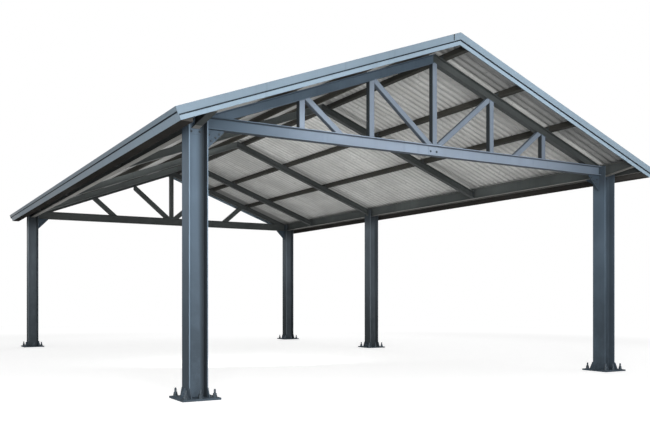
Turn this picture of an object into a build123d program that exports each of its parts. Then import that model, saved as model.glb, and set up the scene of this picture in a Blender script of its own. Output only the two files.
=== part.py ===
"""Open steel carport: five H-section posts, two gable trusses and a corrugated roof.

Millimetres, +Z up. The origin lies on the ground at the middle of the plan,
-Y is the front (drive-in) end and +X the side with three posts.
"""

import math
import os

from build123d import *

# Plan
POST_SPAN = 6000.0
POST_RUN = 9400.0
MIDDLE_POST_SHARE = 0.61
RAFTER_SHARES = (0.28, 0.61, 0.868)

# Posts and their bases
POST_DEPTH = 200.0
POST_WIDTH = 200.0
POST_FLANGE = 12.0
POST_WEB = 8.0
POST_ROOT = 10.0
BASE_SIDE = 400.0
BASE_THICK = 20.0
BOLT_HOLE = 24.0
BOLT_EDGE = 50.0
FOOT_RIB_REACH = 52.0
FOOT_RIB_HEIGHT = 95.0
FOOT_RIB_THICK = 10.0
FOOT_RIB_NOSE = 12.0

# Trusses
TIE_TOP = 2820.0
TIE_DEPTH = 125.0
REAR_TIE_DEPTH = 155.0
TIE_WIDTH = 90.0
TIE_FLANGE = 9.0
TIE_WEB = 6.0
TIE_ROOT = 7.0
ROOF_PITCH = 20.5
RAFTER_DEPTH = 100.0
RAFTER_WIDTH = 80.0
RAFTER_FLANGE = 8.0
RAFTER_WEB = 6.0
RAFTER_ROOT = 6.0
END_PLATE = 8.0
TUBE_SIDE = 70.0
TUBE_WALL = 4.0
TUBE_CORNER = 5.0
BRACE_SIDE = 62.0
REAR_KING_SIDE = 85.0
REAR_BRACE_DEPTH = 100.0
WEB_POST_SHARES = (0.15, 0.30)
BRACE_FOOT_SHARE = 0.22
ALONG_SHARE = 0.999

# Eaves
EAVE_DEPTH = 165.0
EAVE_WIDTH = 80.0
EAVE_FLANGE = 8.0
EAVE_WEB = 6.0
EAVE_ROOT = 7.0
EAVE_CLEAR = 2.0
KNEE_LEG_ACROSS = 160.0
KNEE_LEG_DOWN = 175.0
KNEE_LEG_ALONG = 290.0
KNEE_THICK = 10.0
KNEE_NOSE = 14.0

# Roof covering
FRONT_OVERHANG = 500.0
EAVE_OVERHANG = 300.0
PURLIN_DEPTH = 80.0
PURLIN_WIDTH = 45.0
PURLIN_THICK = 4.0
PURLIN_LIP = 16.0
PURLIN_SHARES = (0.045, 0.315, 0.588)
SHEET_PITCH = 112.0
SHEET_RISE = 21.0
SHEET_THICK = 3.0
SHEET_CREST_SHARE = 0.22
SHEET_END_GAP = 3.0
CAP_REACH = 190.0
CAP_THICK = 3.0
CAP_GAP = 2.0

# Barge boards and gutters
BARGE_UPPER = 76.0
BARGE_LOWER = 56.0
BARGE_STEP = 12.0
BARGE_THICK = 4.0
BARGE_COVER = 110.0
GUTTER_OPEN = 84.0
GUTTER_WALL = 4.0
GUTTER_BEAD = 16.0
GUTTER_END_GAP = 2.0
MITRE_GAP = 1.0
FASCIA_WIDTH = 45.0
FASCIA_DEPTH = 92.0
FASCIA_THICK = 4.0
FASCIA_CLEAR = 1.0
BRACKET_THICK = 8.0
SHEET_OVER_GUTTER = 100.0

# Places that follow from the sizes above
SLOPE = math.radians(ROOF_PITCH)
RISE = math.tan(SLOPE)
LEAN = math.cos(SLOPE)
POST_X = POST_SPAN / 2
FRONT_Y = -POST_RUN / 2
REAR_Y = POST_RUN / 2
MIDDLE_Y = FRONT_Y + POST_RUN * MIDDLE_POST_SHARE
RAFTER_YS = [FRONT_Y + POST_RUN * share for share in RAFTER_SHARES]
INNER_X = POST_X - POST_DEPTH / 2
OUTER_X = POST_X + POST_DEPTH / 2
RIDGE_Z = TIE_TOP + INNER_X * RISE
SHEET_LOW = PURLIN_DEPTH
SHEET_HIGH = SHEET_LOW + SHEET_RISE + SHEET_THICK
BARGE_Y = FRONT_Y - FRONT_OVERHANG
BARGE_BACK_Y = BARGE_Y + BARGE_STEP + BARGE_THICK
FASCIA_X = POST_X + EAVE_OVERHANG - SHEET_OVER_GUTTER
SHEET_END_X = POST_X + EAVE_OVERHANG
SHEET_RUN = SHEET_END_X / LEAN - SHEET_HIGH * RISE
BARGE_RUN = SHEET_RUN + GUTTER_OPEN
BARGE_TOP = SHEET_HIGH + BARGE_THICK
BARGE_FOLD = BARGE_TOP - BARGE_UPPER
BARGE_LOW = BARGE_FOLD - BARGE_LOWER
EAVE_TOP = RIDGE_Z + SHEET_LOW / LEAN - (POST_X + EAVE_WIDTH / 2) * RISE - EAVE_CLEAR
EAVE_BOTTOM = EAVE_TOP - EAVE_DEPTH


def roof_z(x, lift):
    """Height at plan distance x from the ridge, lifted square off the rafter tops."""
    return RIDGE_Z + lift / LEAN - x * RISE


def slope_point(run, lift):
    """Plan distance and height of a point a run down the right slope."""
    x = run * LEAN + lift * math.sin(SLOPE)
    z = RIDGE_Z - run * math.sin(SLOPE) + lift * LEAN
    return (x, z)


def prism_y(points, y_low, y_high):
    """Outline of (x, z) points drawn out along Y."""
    plane = Plane(origin=(0, y_low, 0), x_dir=(1, 0, 0), z_dir=(0, -1, 0))
    face = plane * Polygon(*points, align=None)
    return extrude(face, amount=y_high - y_low, dir=(0, 1, 0))


def prism_x(points, x_low, x_high):
    """Outline of (y, z) points drawn out along X."""
    plane = Plane(origin=(x_low, 0, 0), x_dir=(0, 1, 0), z_dir=(1, 0, 0))
    face = plane * Polygon(*points, align=None)
    return extrude(face, amount=x_high - x_low, dir=(1, 0, 0))


def block(x_low, x_high, y_low, y_high, z_low, z_high):
    """Plain block between two opposite corners."""
    centre = Pos((x_low + x_high) / 2, (y_low + y_high) / 2, (z_low + z_high) / 2)
    return centre * Box(x_high - x_low, y_high - y_low, z_high - z_low)


def i_section(width, depth, flange, web, root):
    """I section about its own middle, its roots eased between web and flanges."""
    half, top = width / 2, depth / 2
    inner, rib = depth / 2 - flange, web / 2
    right = [(half, -top), (half, -inner), (rib, -inner), (rib, inner), (half, inner), (half, top)]
    left = [(-x, z) for x, z in reversed(right)]
    section = Polygon(*right, *left, align=None)
    roots = [corner for corner in section.vertices() if abs(corner.X) < (half + rib) / 2]
    return chamfer(roots, root)


def flip_x(shape):
    """Same piece on the other side of the ridge line."""
    return mirror(shape, about=Plane.YZ)


def flip_y(shape):
    """Same piece at the other end of the carport."""
    return mirror(shape, about=Plane.XZ)


def clip(points, keep):
    """Part of an outline on the kept side of a line, keep(x, z) being positive there."""
    kept = []
    for index, point in enumerate(points):
        before = points[index - 1]
        here, there = keep(*point), keep(*before)
        if (here >= 0) != (there >= 0):
            share = there / (there - here)
            kept.append(tuple(b + (p - b) * share for p, b in zip(point, before)))
        if here >= 0:
            kept.append(point)
    return kept


def make_post(x, y):
    """H-section post with its flanges facing across the carport."""
    plane = Plane(origin=(x, y, BASE_THICK), x_dir=(0, 1, 0), z_dir=(0, 0, 1))
    face = plane * i_section(POST_WIDTH, POST_DEPTH, POST_FLANGE, POST_WEB, POST_ROOT)
    return extrude(face, amount=TIE_TOP - BASE_THICK, dir=(0, 0, 1))


def foot_rib(inner, low):
    """Triangular stiffener outline standing out from a flange face."""
    outer = inner + FOOT_RIB_REACH
    high = low + FOOT_RIB_HEIGHT
    return [(inner, low), (outer, low), (outer, low + FOOT_RIB_NOSE), (inner + FOOT_RIB_NOSE, high), (inner, high)]


def make_base(x, y):
    """Base plate with six bolt holes and the stiffeners welded round the post foot."""
    half = BASE_SIDE / 2
    base = block(-half, half, -half, half, 0, BASE_THICK)
    reach = half - BOLT_EDGE
    for bolt_x in (-reach, 0, reach):
        for bolt_y in (-reach, reach):
            base -= Pos(bolt_x, bolt_y, BASE_THICK / 2) * Cylinder(BOLT_HOLE / 2, BASE_THICK)
    side = prism_y(foot_rib(POST_DEPTH / 2, BASE_THICK), -FOOT_RIB_THICK / 2, FOOT_RIB_THICK / 2)
    end_low = POST_DEPTH / 2 - (POST_FLANGE + FOOT_RIB_THICK) / 2
    end = prism_x(foot_rib(POST_WIDTH / 2, BASE_THICK), end_low, end_low + FOOT_RIB_THICK)
    for rib in (side, flip_x(side), end, flip_x(end), flip_y(end), flip_x(flip_y(end))):
        base += rib
    return Pos(x, y, 0) * base


def make_tie(y, depth):
    """I-section tie beam between the inner post flanges."""
    plane = Plane(origin=(-INNER_X, y, TIE_TOP - depth / 2), x_dir=(0, 1, 0), z_dir=(1, 0, 0))
    face = plane * i_section(TIE_WIDTH, depth, TIE_FLANGE, TIE_WEB, TIE_ROOT)
    return extrude(face, amount=2 * INNER_X, dir=(1, 0, 0))


def slope_strip(x_low, x_high, lift_low, lift_high):
    """Strip along the right slope with upright ends."""
    return [
        (x_low, roof_z(x_low, lift_low)),
        (x_high, roof_z(x_high, lift_low)),
        (x_high, roof_z(x_high, lift_high)),
        (x_low, roof_z(x_low, lift_high)),
    ]


def i_rafter(y, x_high, floor):
    """I-section rafter of the right slope, cut upright at both ends and level at the floor."""
    down = (LEAN, 0, -math.sin(SLOPE))
    x_start, z_start = slope_point(-RAFTER_DEPTH, -RAFTER_DEPTH / 2)
    plane = Plane(origin=(x_start, y, z_start), x_dir=(0, 1, 0), z_dir=down)
    face = plane * i_section(RAFTER_WIDTH, RAFTER_DEPTH, RAFTER_FLANGE, RAFTER_WEB, RAFTER_ROOT)
    bar = extrude(face, amount=POST_X / LEAN + 2 * RAFTER_DEPTH, dir=down)
    half = RAFTER_WIDTH / 2
    return bar & block(0, x_high, y - half, y + half, floor, RIDGE_Z)


def make_chord(y):
    """Right top chord of a truss, seated on the tie beam."""
    return i_rafter(y, INNER_X, TIE_TOP)


def make_rafter(y, end_x, plate_top):
    """Right intermediate rafter with the end plate that meets the eave beam or post."""
    plate_x = end_x - END_PLATE
    rafter = i_rafter(y, plate_x, 0)
    half = RAFTER_WIDTH / 2
    return rafter + block(plate_x, end_x, y - half, y + half, EAVE_BOTTOM, plate_top)


def hollow(outline, bore, along, y, side):
    """Square tube lying in the truss plane, its four long corners eased."""
    tube = prism_y(outline, y - side / 2, y + side / 2)
    corners = [edge for edge in tube.edges() if abs(edge.tangent_at(0).dot(along)) > ALONG_SHARE]
    tube = chamfer(corners, TUBE_CORNER)
    return tube - prism_y(bore, y - side / 2 + TUBE_WALL, y + side / 2 - TUBE_WALL)


def make_king(y, side):
    """King post with its head cut to both top chords."""
    half, bore = side / 2, side / 2 - TUBE_WALL
    shoulder, peak = roof_z(half, -RAFTER_DEPTH), roof_z(0, -RAFTER_DEPTH)
    outline = [(-half, TIE_TOP), (half, TIE_TOP), (half, shoulder), (0, peak), (-half, shoulder)]
    inside = [(-bore, TIE_TOP), (bore, TIE_TOP), (bore, RIDGE_Z), (-bore, RIDGE_Z)]
    return hollow(outline, inside, Vector(0, 0, 1), y, side)


def make_web_post(x, y):
    """Upright web tube of the right half, its head cut to the top chord."""
    half, bore = TUBE_SIDE / 2, TUBE_SIDE / 2 - TUBE_WALL
    low, high = x - half, x + half
    outline = [(low, TIE_TOP), (high, TIE_TOP)]
    outline += [(high, roof_z(high, -RAFTER_DEPTH)), (low, roof_z(low, -RAFTER_DEPTH))]
    inside = [(x - bore, TIE_TOP), (x + bore, TIE_TOP), (x + bore, RIDGE_Z), (x - bore, RIDGE_Z)]
    return hollow(outline, inside, Vector(0, 0, 1), y, TUBE_SIDE)


def make_brace(foot_x, head_x, stop_low, stop_high, y, depth):
    """Sloping web tube of the right half, from the tie beam up to the top chord."""
    foot = (foot_x, TIE_TOP)
    head = (head_x, roof_z(head_x, -RAFTER_DEPTH))
    length = math.hypot(head[0] - foot[0], head[1] - foot[1])
    along = ((head[0] - foot[0]) / length, (head[1] - foot[1]) / length)
    strips = []
    for half in (depth / 2, depth / 2 - TUBE_WALL):
        aside = (-along[1] * half, along[0] * half)
        over = (along[0] * length, along[1] * length)
        start, stop = (foot[0] - over[0], foot[1] - over[1]), (head[0] + over[0], head[1] + over[1])
        strips.append([
            (start[0] - aside[0], start[1] - aside[1]),
            (stop[0] - aside[0], stop[1] - aside[1]),
            (stop[0] + aside[0], stop[1] + aside[1]),
            (start[0] + aside[0], start[1] + aside[1]),
        ])
    outline = clip(strips[0], lambda x, z: z - TIE_TOP)
    outline = clip(outline, lambda x, z: roof_z(x, -RAFTER_DEPTH) - z)
    outline = clip(outline, lambda x, z: x - stop_low)
    outline = clip(outline, lambda x, z: stop_high - x)
    return hollow(outline, strips[1], Vector(along[0], 0, along[1]), y, BRACE_SIDE)


def make_eave(x, y_low, y_high):
    """I-section eave beam length between two post webs."""
    plane = Plane(origin=(x, y_low, (EAVE_TOP + EAVE_BOTTOM) / 2), x_dir=(1, 0, 0), z_dir=(0, -1, 0))
    face = plane * i_section(EAVE_WIDTH, EAVE_DEPTH, EAVE_FLANGE, EAVE_WEB, EAVE_ROOT)
    return extrude(face, amount=y_high - y_low, dir=(0, 1, 0))


def make_purlin(run):
    """Lipped channel purlin of the right slope, lying on the rafters between the barge boards."""
    low, high, wall = run, run + PURLIN_WIDTH, PURLIN_THICK
    lower = [
        (low, 0), (high, 0), (high, PURLIN_LIP), (high - wall, PURLIN_LIP), (high - wall, wall), (low + wall, wall),
    ]
    upper = [(along, PURLIN_DEPTH - lift) for along, lift in reversed(lower)]
    return prism_y([slope_point(*point) for point in lower + upper], BARGE_BACK_Y, -BARGE_BACK_Y)


def make_sheet():
    """Corrugated roof sheet of the right slope, its waves running from ridge to eave."""
    half = -BARGE_BACK_Y - SHEET_END_GAP
    waves = int(2 * half / SHEET_PITCH)
    pitch = 2 * half / waves
    flat, ramp = pitch * SHEET_CREST_SHARE, pitch / 2 - pitch * SHEET_CREST_SHARE
    under = [(-half, SHEET_LOW)]
    for wave in range(waves):
        at = -half + wave * pitch
        under.append((at + flat / 2, SHEET_LOW))
        under.append((at + flat / 2 + ramp, SHEET_LOW + SHEET_RISE))
        under.append((at + flat / 2 + ramp + flat, SHEET_LOW + SHEET_RISE))
        under.append((at + flat / 2 + ramp + flat + ramp, SHEET_LOW))
    under.append((half, SHEET_LOW))
    over = [(y, lift + SHEET_THICK) for y, lift in reversed(under)]
    down = (LEAN, 0, -math.sin(SLOPE))
    plane = Plane(origin=(0, 0, RIDGE_Z), x_dir=(0, 1, 0), z_dir=down)
    return extrude(plane * Polygon(*under, *over, align=None), amount=SHEET_RUN, dir=down)


def make_ridge_cap():
    """Folded ridge capping over the top ends of both sheets."""
    right = slope_strip(0, CAP_REACH * LEAN, SHEET_HIGH, SHEET_HIGH + CAP_THICK)
    left = [(-x, z) for x, z in (right[2], right[1])]
    y_end = BARGE_Y + BARGE_COVER + CAP_GAP
    return prism_y(right + left, y_end, -y_end)


def barge_strip(run_high, lift_low, lift_high):
    """Strip of a barge board, upright at the ridge and square across at its lower end."""
    end_low, end_high = slope_point(run_high, lift_low), slope_point(run_high, lift_high)
    return [(0, roof_z(0, lift_low)), end_low, end_high, (0, roof_z(0, lift_high))]


def make_barge():
    """Two-step barge board at the front of the right slope, ending inside the gutter's face."""
    wall, back = BARGE_THICK, BARGE_Y + BARGE_STEP
    upper_end = BARGE_RUN - GUTTER_WALL - MITRE_GAP
    cover_end = BARGE_RUN - GUTTER_BEAD - MITRE_GAP
    lower_end = upper_end - BARGE_STEP
    cover = barge_strip(cover_end, SHEET_HIGH, BARGE_TOP)
    ledge = barge_strip(lower_end, BARGE_FOLD, BARGE_FOLD + wall)
    barge = prism_y(barge_strip(upper_end, BARGE_FOLD, BARGE_TOP), BARGE_Y, BARGE_Y + wall)
    barge += prism_y(cover, BARGE_Y, BARGE_Y + BARGE_COVER)
    barge += prism_y(ledge, BARGE_Y, back + wall)
    barge += prism_y(barge_strip(lower_end, BARGE_LOW, BARGE_FOLD + wall), back, back + wall)
    return barge


def face_strip(back, front, lift_low, lift_high):
    """Strip of the right gutter's face, measured back from its outermost plane."""
    corners = ((back, lift_low), (front, lift_low), (front, lift_high), (back, lift_high))
    return [slope_point(BARGE_RUN - aside, lift) for aside, lift in corners]


def make_gutter():
    """Box gutter along the right eave, its face stepped like the barge boards and square to the slope."""
    wall, back, step = GUTTER_WALL, FASCIA_X, BARGE_STEP
    top = roof_z(back + wall, SHEET_LOW) - FASCIA_CLEAR
    front, low = slope_point(BARGE_RUN - step, BARGE_LOW)
    inner = slope_point(BARGE_RUN - step - wall, BARGE_LOW + wall)
    fold_y = BARGE_Y + BARGE_THICK + MITRE_GAP
    step_y = BARGE_Y + step
    end_y = BARGE_BACK_Y + GUTTER_END_GAP
    gutter = prism_y(face_strip(wall, 0, BARGE_FOLD, BARGE_TOP), BARGE_Y, -BARGE_Y)
    gutter += prism_y(face_strip(GUTTER_BEAD, 0, BARGE_TOP - wall, BARGE_TOP), fold_y, -fold_y)
    gutter += prism_y(face_strip(step + wall, 0, BARGE_FOLD, BARGE_FOLD + wall), fold_y, -fold_y)
    gutter += prism_y(face_strip(step + wall, step, BARGE_LOW, BARGE_FOLD + wall), step_y, -step_y)
    trough = [(back, low), (front, low), inner, (back + wall, low + wall), (back + wall, top), (back, top)]
    gutter += prism_y(trough, end_y, -end_y)
    stop_top = slope_point(BARGE_RUN - step - wall, BARGE_FOLD)
    stop = prism_y([(back, low), (front, low), stop_top, (back, stop_top[1])], end_y, end_y + wall)
    return gutter + stop + flip_y(stop)


def make_fascia():
    """Fascia channel behind the right gutter."""
    top = roof_z(FASCIA_X, SHEET_LOW) - FASCIA_CLEAR
    low, inner, thick = top - FASCIA_DEPTH, FASCIA_X - FASCIA_WIDTH, FASCIA_THICK
    outline = [
        (inner, low), (FASCIA_X, low), (FASCIA_X, top), (inner, top), (inner, top - thick),
        (FASCIA_X - thick, top - thick), (FASCIA_X - thick, low + thick), (inner, low + thick),
    ]
    return prism_y(outline, BARGE_BACK_Y, -BARGE_BACK_Y)


def make_bracket(y, start):
    """Flat bracket that carries the right fascia from a post flange or the eave beam web."""
    high = roof_z(FASCIA_X, SHEET_LOW) - FASCIA_CLEAR - FASCIA_THICK
    low = max(EAVE_BOTTOM + EAVE_FLANGE + EAVE_ROOT, high - FASCIA_DEPTH + 2 * FASCIA_THICK)
    return block(start, FASCIA_X - FASCIA_THICK, y - BRACKET_THICK / 2, y + BRACKET_THICK / 2, low, high)


def knee_outline(start, leg):
    """Corner plate outline under a beam, its upright edge at the start."""
    low = EAVE_BOTTOM - KNEE_LEG_DOWN
    return [
        (start, EAVE_BOTTOM), (start + leg, EAVE_BOTTOM), (start + leg, EAVE_BOTTOM - KNEE_NOSE),
        (start + KNEE_NOSE, low), (start, low),
    ]


def make_truss_knee(y, depth):
    """Knee plate between the right post flange and the tie beam."""
    lift = TIE_TOP - depth - EAVE_BOTTOM
    outline = [(2 * INNER_X - x, z + lift) for x, z in knee_outline(INNER_X, KNEE_LEG_ACROSS)]
    return prism_y(outline, y - KNEE_THICK / 2, y + KNEE_THICK / 2)


def make_side_knee():
    """Knee plate between the right front post web and the eave beam."""
    outline = knee_outline(FRONT_Y + POST_WEB / 2, KNEE_LEG_ALONG)
    return prism_x(outline, POST_X - KNEE_THICK / 2, POST_X + KNEE_THICK / 2)


parts = {}

posts = {
    "front_left": (-POST_X, FRONT_Y),
    "rear_left": (-POST_X, REAR_Y),
    "front_right": (POST_X, FRONT_Y),
    "middle_right": (POST_X, MIDDLE_Y),
    "rear_right": (POST_X, REAR_Y),
}
for name, (post_x, post_y) in posts.items():
    parts[name + "_post"] = make_post(post_x, post_y)
    parts[name + "_base"] = make_base(post_x, post_y)

trusses = (
    ("front", FRONT_Y, TIE_DEPTH, TUBE_SIDE, BRACE_SIDE),
    ("rear", REAR_Y, REAR_TIE_DEPTH, REAR_KING_SIDE, REAR_BRACE_DEPTH),
)
for end, truss_y, tie_depth, king_side, _ in trusses:
    parts[end + "_tie_beam"] = make_tie(truss_y, tie_depth)
    parts[end + "_king_post"] = make_king(truss_y, king_side)
    chord = make_chord(truss_y)
    parts[end + "_right_chord"] = chord
    parts[end + "_left_chord"] = flip_x(chord)

post_xs = [POST_SPAN * share for share in WEB_POST_SHARES]
web_posts = [make_web_post(x, FRONT_Y) for x in post_xs]
parts["front_web_posts"] = Compound(children=web_posts + [flip_x(piece) for piece in web_posts])


def make_braces(y, king_side, depth):
    """Right pair of braces, each headed against the line of an upright."""
    inner_x, outer_x = post_xs
    king_half, half, foot_rise = king_side / 2, TUBE_SIDE / 2, depth / 2
    inner_brace = make_brace(king_half + foot_rise, inner_x - half, king_half, inner_x - half, y, depth)
    outer_foot = POST_SPAN * BRACE_FOOT_SHARE
    outer_brace = make_brace(outer_foot, outer_x - half - foot_rise, outer_foot - depth, outer_x - half, y, depth)
    return [inner_brace, outer_brace]


for end, truss_y, _, king_side, brace_depth in trusses:
    braces = make_braces(truss_y, king_side, brace_depth)
    parts[end + "_web_braces"] = Compound(children=braces + [flip_x(piece) for piece in braces])

beam_inner_x = POST_X - EAVE_WIDTH / 2
for name, rafter_y in zip(("front", "middle", "rear"), RAFTER_YS):
    at_post = name == "middle"
    right_y = MIDDLE_Y if at_post else rafter_y
    right_end, right_top = (INNER_X, TIE_TOP) if at_post else (beam_inner_x, EAVE_TOP)
    parts[name + "_right_rafter"] = make_rafter(right_y, right_end, right_top)
    parts[name + "_left_rafter"] = flip_x(make_rafter(rafter_y, beam_inner_x, EAVE_TOP))

web = POST_WEB / 2
front_stub = make_eave(POST_X, BARGE_BACK_Y, FRONT_Y - web)
rear_stub = flip_y(front_stub)
left_main = flip_x(make_eave(POST_X, FRONT_Y + web, REAR_Y - web))
parts["left_eave_beam"] = Compound(children=[left_main, flip_x(front_stub), flip_x(rear_stub)])
front_main = make_eave(POST_X, FRONT_Y + web, MIDDLE_Y - web)
rear_main = make_eave(POST_X, MIDDLE_Y + web, REAR_Y - web)
parts["right_front_eave_beam"] = Compound(children=[front_main, front_stub])
parts["right_rear_eave_beam"] = Compound(children=[rear_main, rear_stub])

purlins = [make_purlin(SHEET_RUN * share - PURLIN_WIDTH / 2) for share in PURLIN_SHARES]
parts["right_purlins"] = Compound(children=purlins)
parts["left_purlins"] = Compound(children=[flip_x(piece) for piece in purlins])

sheet = make_sheet()
parts["right_roof_sheet"] = sheet
parts["left_roof_sheet"] = flip_x(sheet)
parts["ridge_cap"] = make_ridge_cap()

barge = make_barge()
parts["front_right_barge"] = barge
parts["front_left_barge"] = flip_x(barge)
parts["rear_right_barge"] = flip_y(barge)
parts["rear_left_barge"] = flip_x(flip_y(barge))

gutter = make_gutter()
parts["right_gutter"] = gutter
parts["left_gutter"] = flip_x(gutter)

fascia = make_fascia()
parts["right_fascia"] = fascia
parts["left_fascia"] = flip_x(fascia)

beam_web_x = POST_X + EAVE_WEB / 2
right_starts = [(FRONT_Y, OUTER_X), (RAFTER_YS[0], beam_web_x), (MIDDLE_Y, OUTER_X)]
right_starts += [(RAFTER_YS[2], beam_web_x), (REAR_Y, OUTER_X)]
left_starts = [(FRONT_Y, OUTER_X), (REAR_Y, OUTER_X)] + [(y, beam_web_x) for y in RAFTER_YS]
brackets = [make_bracket(*start) for start in right_starts]
brackets += [flip_x(make_bracket(*start)) for start in left_starts]
parts["gutter_brackets"] = Compound(children=brackets)

right_knees = [make_truss_knee(truss_y, tie_depth) for _, truss_y, tie_depth, _, _ in trusses]
right_knees.append(make_side_knee())
parts["knee_plates"] = Compound(children=right_knees + [flip_x(piece) for piece in right_knees])

os.makedirs("parts", exist_ok=True)
for name, shape in parts.items():
    export_step(shape, os.path.join("parts", name + ".step"))
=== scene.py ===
import math

import bmesh
import bpy
from bpy.props import FloatProperty, FloatVectorProperty, IntProperty, PointerProperty
from bpy.types import Operator, Panel, PropertyGroup
from mathutils import Matrix, Vector


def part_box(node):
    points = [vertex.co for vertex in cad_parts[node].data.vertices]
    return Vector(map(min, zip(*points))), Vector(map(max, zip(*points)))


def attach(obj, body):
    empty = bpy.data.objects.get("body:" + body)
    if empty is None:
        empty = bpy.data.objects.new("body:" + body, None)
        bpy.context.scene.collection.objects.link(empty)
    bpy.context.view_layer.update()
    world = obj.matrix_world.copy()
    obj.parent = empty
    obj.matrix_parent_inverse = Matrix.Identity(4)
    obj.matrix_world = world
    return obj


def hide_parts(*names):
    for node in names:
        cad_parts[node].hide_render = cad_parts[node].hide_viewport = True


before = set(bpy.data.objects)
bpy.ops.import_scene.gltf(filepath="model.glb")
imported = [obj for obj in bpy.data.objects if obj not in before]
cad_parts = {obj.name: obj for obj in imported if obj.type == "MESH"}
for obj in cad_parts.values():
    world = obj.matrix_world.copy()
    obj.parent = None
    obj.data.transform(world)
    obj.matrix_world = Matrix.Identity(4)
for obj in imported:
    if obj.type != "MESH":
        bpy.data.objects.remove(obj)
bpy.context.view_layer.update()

bl_info = {
    "name": "Steel Carport",
    "version": (1, 0, 0),
    "blender": (4, 5, 0),
    "location": "3D View > Sidebar > Carport",
    "description": "Dresses the frame of an open gable carport with sheeting, trim, fasteners and finishes",
    "category": "Object",
}

IMAGE_WIDTH, IMAGE_HEIGHT = 650, 433
SENSOR_WIDTH = 36.0

# Places read from the frame, in metres
POSTS = ("front_left", "rear_left", "front_right", "middle_right", "rear_right")
TIE_LOW, TIE_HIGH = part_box("front_tie_beam")
INNER_X = TIE_HIGH.x
TIE_TOP = TIE_HIGH.z
TIE_HALF = (TIE_HIGH.y - TIE_LOW.y) / 2
FRONT_Y = (TIE_LOW.y + TIE_HIGH.y) / 2
REAR_Y = -FRONT_Y
RIDGE_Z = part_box("front_right_chord")[1].z
RISE = (RIDGE_Z - TIE_TOP) / INNER_X
SLOPE = math.atan(RISE)
LEAN, SINK = math.cos(SLOPE), math.sin(SLOPE)
POST_LOW, POST_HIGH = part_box("front_right_post")
POST_X = (POST_LOW.x + POST_HIGH.x) / 2
POST_HALF = (POST_HIGH.x - POST_LOW.x) / 2
BASE_TOP = POST_LOW.z
SHEET_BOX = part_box("right_roof_sheet")
SHEET_LOW = SHEET_BOX[0].x / SINK
SHEET_HIGH = (SHEET_BOX[1].z - RIDGE_Z) / LEAN
SHEET_RUN = (RIDGE_Z + SHEET_LOW * LEAN - SHEET_BOX[0].z) / SINK
SHEET_END = SHEET_BOX[1].y
BARGE_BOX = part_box("front_right_barge")
BARGE_Y = BARGE_BOX[0].y
BARGE_TOP = (BARGE_BOX[1].z - RIDGE_Z) * LEAN
BARGE_COVER = BARGE_BOX[1].y - BARGE_Y
GUTTER_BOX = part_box("right_gutter")
GUTTER_BACK = GUTTER_BOX[0].x
BARGE_RUN = (GUTTER_BOX[1].x - BARGE_TOP * SINK) / LEAN
CAP_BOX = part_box("ridge_cap")
CAP_X, CAP_END = CAP_BOX[1].x, CAP_BOX[1].y
RAFTER_BOXES = [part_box(f"{name}_right_rafter") for name in ("front", "middle", "rear")]
RAFTER_YS = [(low.y + high.y) / 2 for low, high in RAFTER_BOXES]
RAFTER_WIDTH = RAFTER_BOXES[0][1].y - RAFTER_BOXES[0][0].y
RAFTER_END_X = RAFTER_BOXES[0][1].x
FRAME_YS = [FRONT_Y, *RAFTER_YS, REAR_Y]
EAVE_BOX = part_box("left_eave_beam")
EAVE_LOW, EAVE_HIGH, EAVE_END = EAVE_BOX[0].z, EAVE_BOX[1].z, EAVE_BOX[1].y
EAVE_HALF = (EAVE_BOX[1].x - EAVE_BOX[0].x) / 2
EAVE_MEETING = (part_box("right_front_eave_beam")[1].y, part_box("right_rear_eave_beam")[0].y)
POST_WEB_HALF = (EAVE_MEETING[1] - EAVE_MEETING[0]) / 2

# Places that the boxes of the frame do not give: purlins as shares of the sheet's run, the rest in metres
PURLIN_SHARES = (0.045, 0.315, 0.588)
PURLIN_HALF = 0.0225
WEB_POST_XS = (0.9, 1.8)
CHORD_DEPTH = 0.1
POST_FLANGE = 0.012
TIE_WEB_HALF = 0.003
RAFTER_PLATE = 0.008

SIDES = (("left", -1), ("right", 1))
ENDS = (("front", 1), ("rear", -1))
UP = Vector((0, 0, 1))


def length(name, description, default):
    """Setting that holds a length in metres."""
    return FloatProperty(name=name, description=description, default=default, unit="LENGTH")


def number(name, description, default):
    """Setting that holds a plain number."""
    return FloatProperty(name=name, description=description, default=default)


def whole(name, description, default):
    """Setting that holds a whole number."""
    return IntProperty(name=name, description=description, default=default)


def power(name, description, default):
    """Setting that holds the power of a lamp."""
    return FloatProperty(name=name, description=description, default=default, unit="POWER")


def coat_colour(name, description, *default):
    """Setting that holds a colour."""
    return FloatVectorProperty(name=name, description=description, default=default, subtype="COLOR", size=3)


class CarportRoof(PropertyGroup):
    """Sizes of the corrugated sheeting and its screws."""
    wave_pitch: length("Wave pitch", "Width of one corrugation", 0.112)
    sheet_thick: length("Sheet thickness", "Thickness of the sheeting", 0.0012)
    lap_rise: length("Lap rise", "Lift of an upper sheet over its neighbours", 0.0014)
    cover_waves: whole("Cover waves", "Corrugations that one sheet covers", 8)
    wave_steps: whole("Wave steps", "Edges round one corrugation", 12)
    screw_waves: whole("Screw spacing", "Corrugations between two roof screws", 3)
    cap_lip: length("Cap lip", "Turned-down edge of the ridge cap", 0.014)
    cap_length: length("Cap length", "Length of one ridge cap", 2.4)


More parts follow.
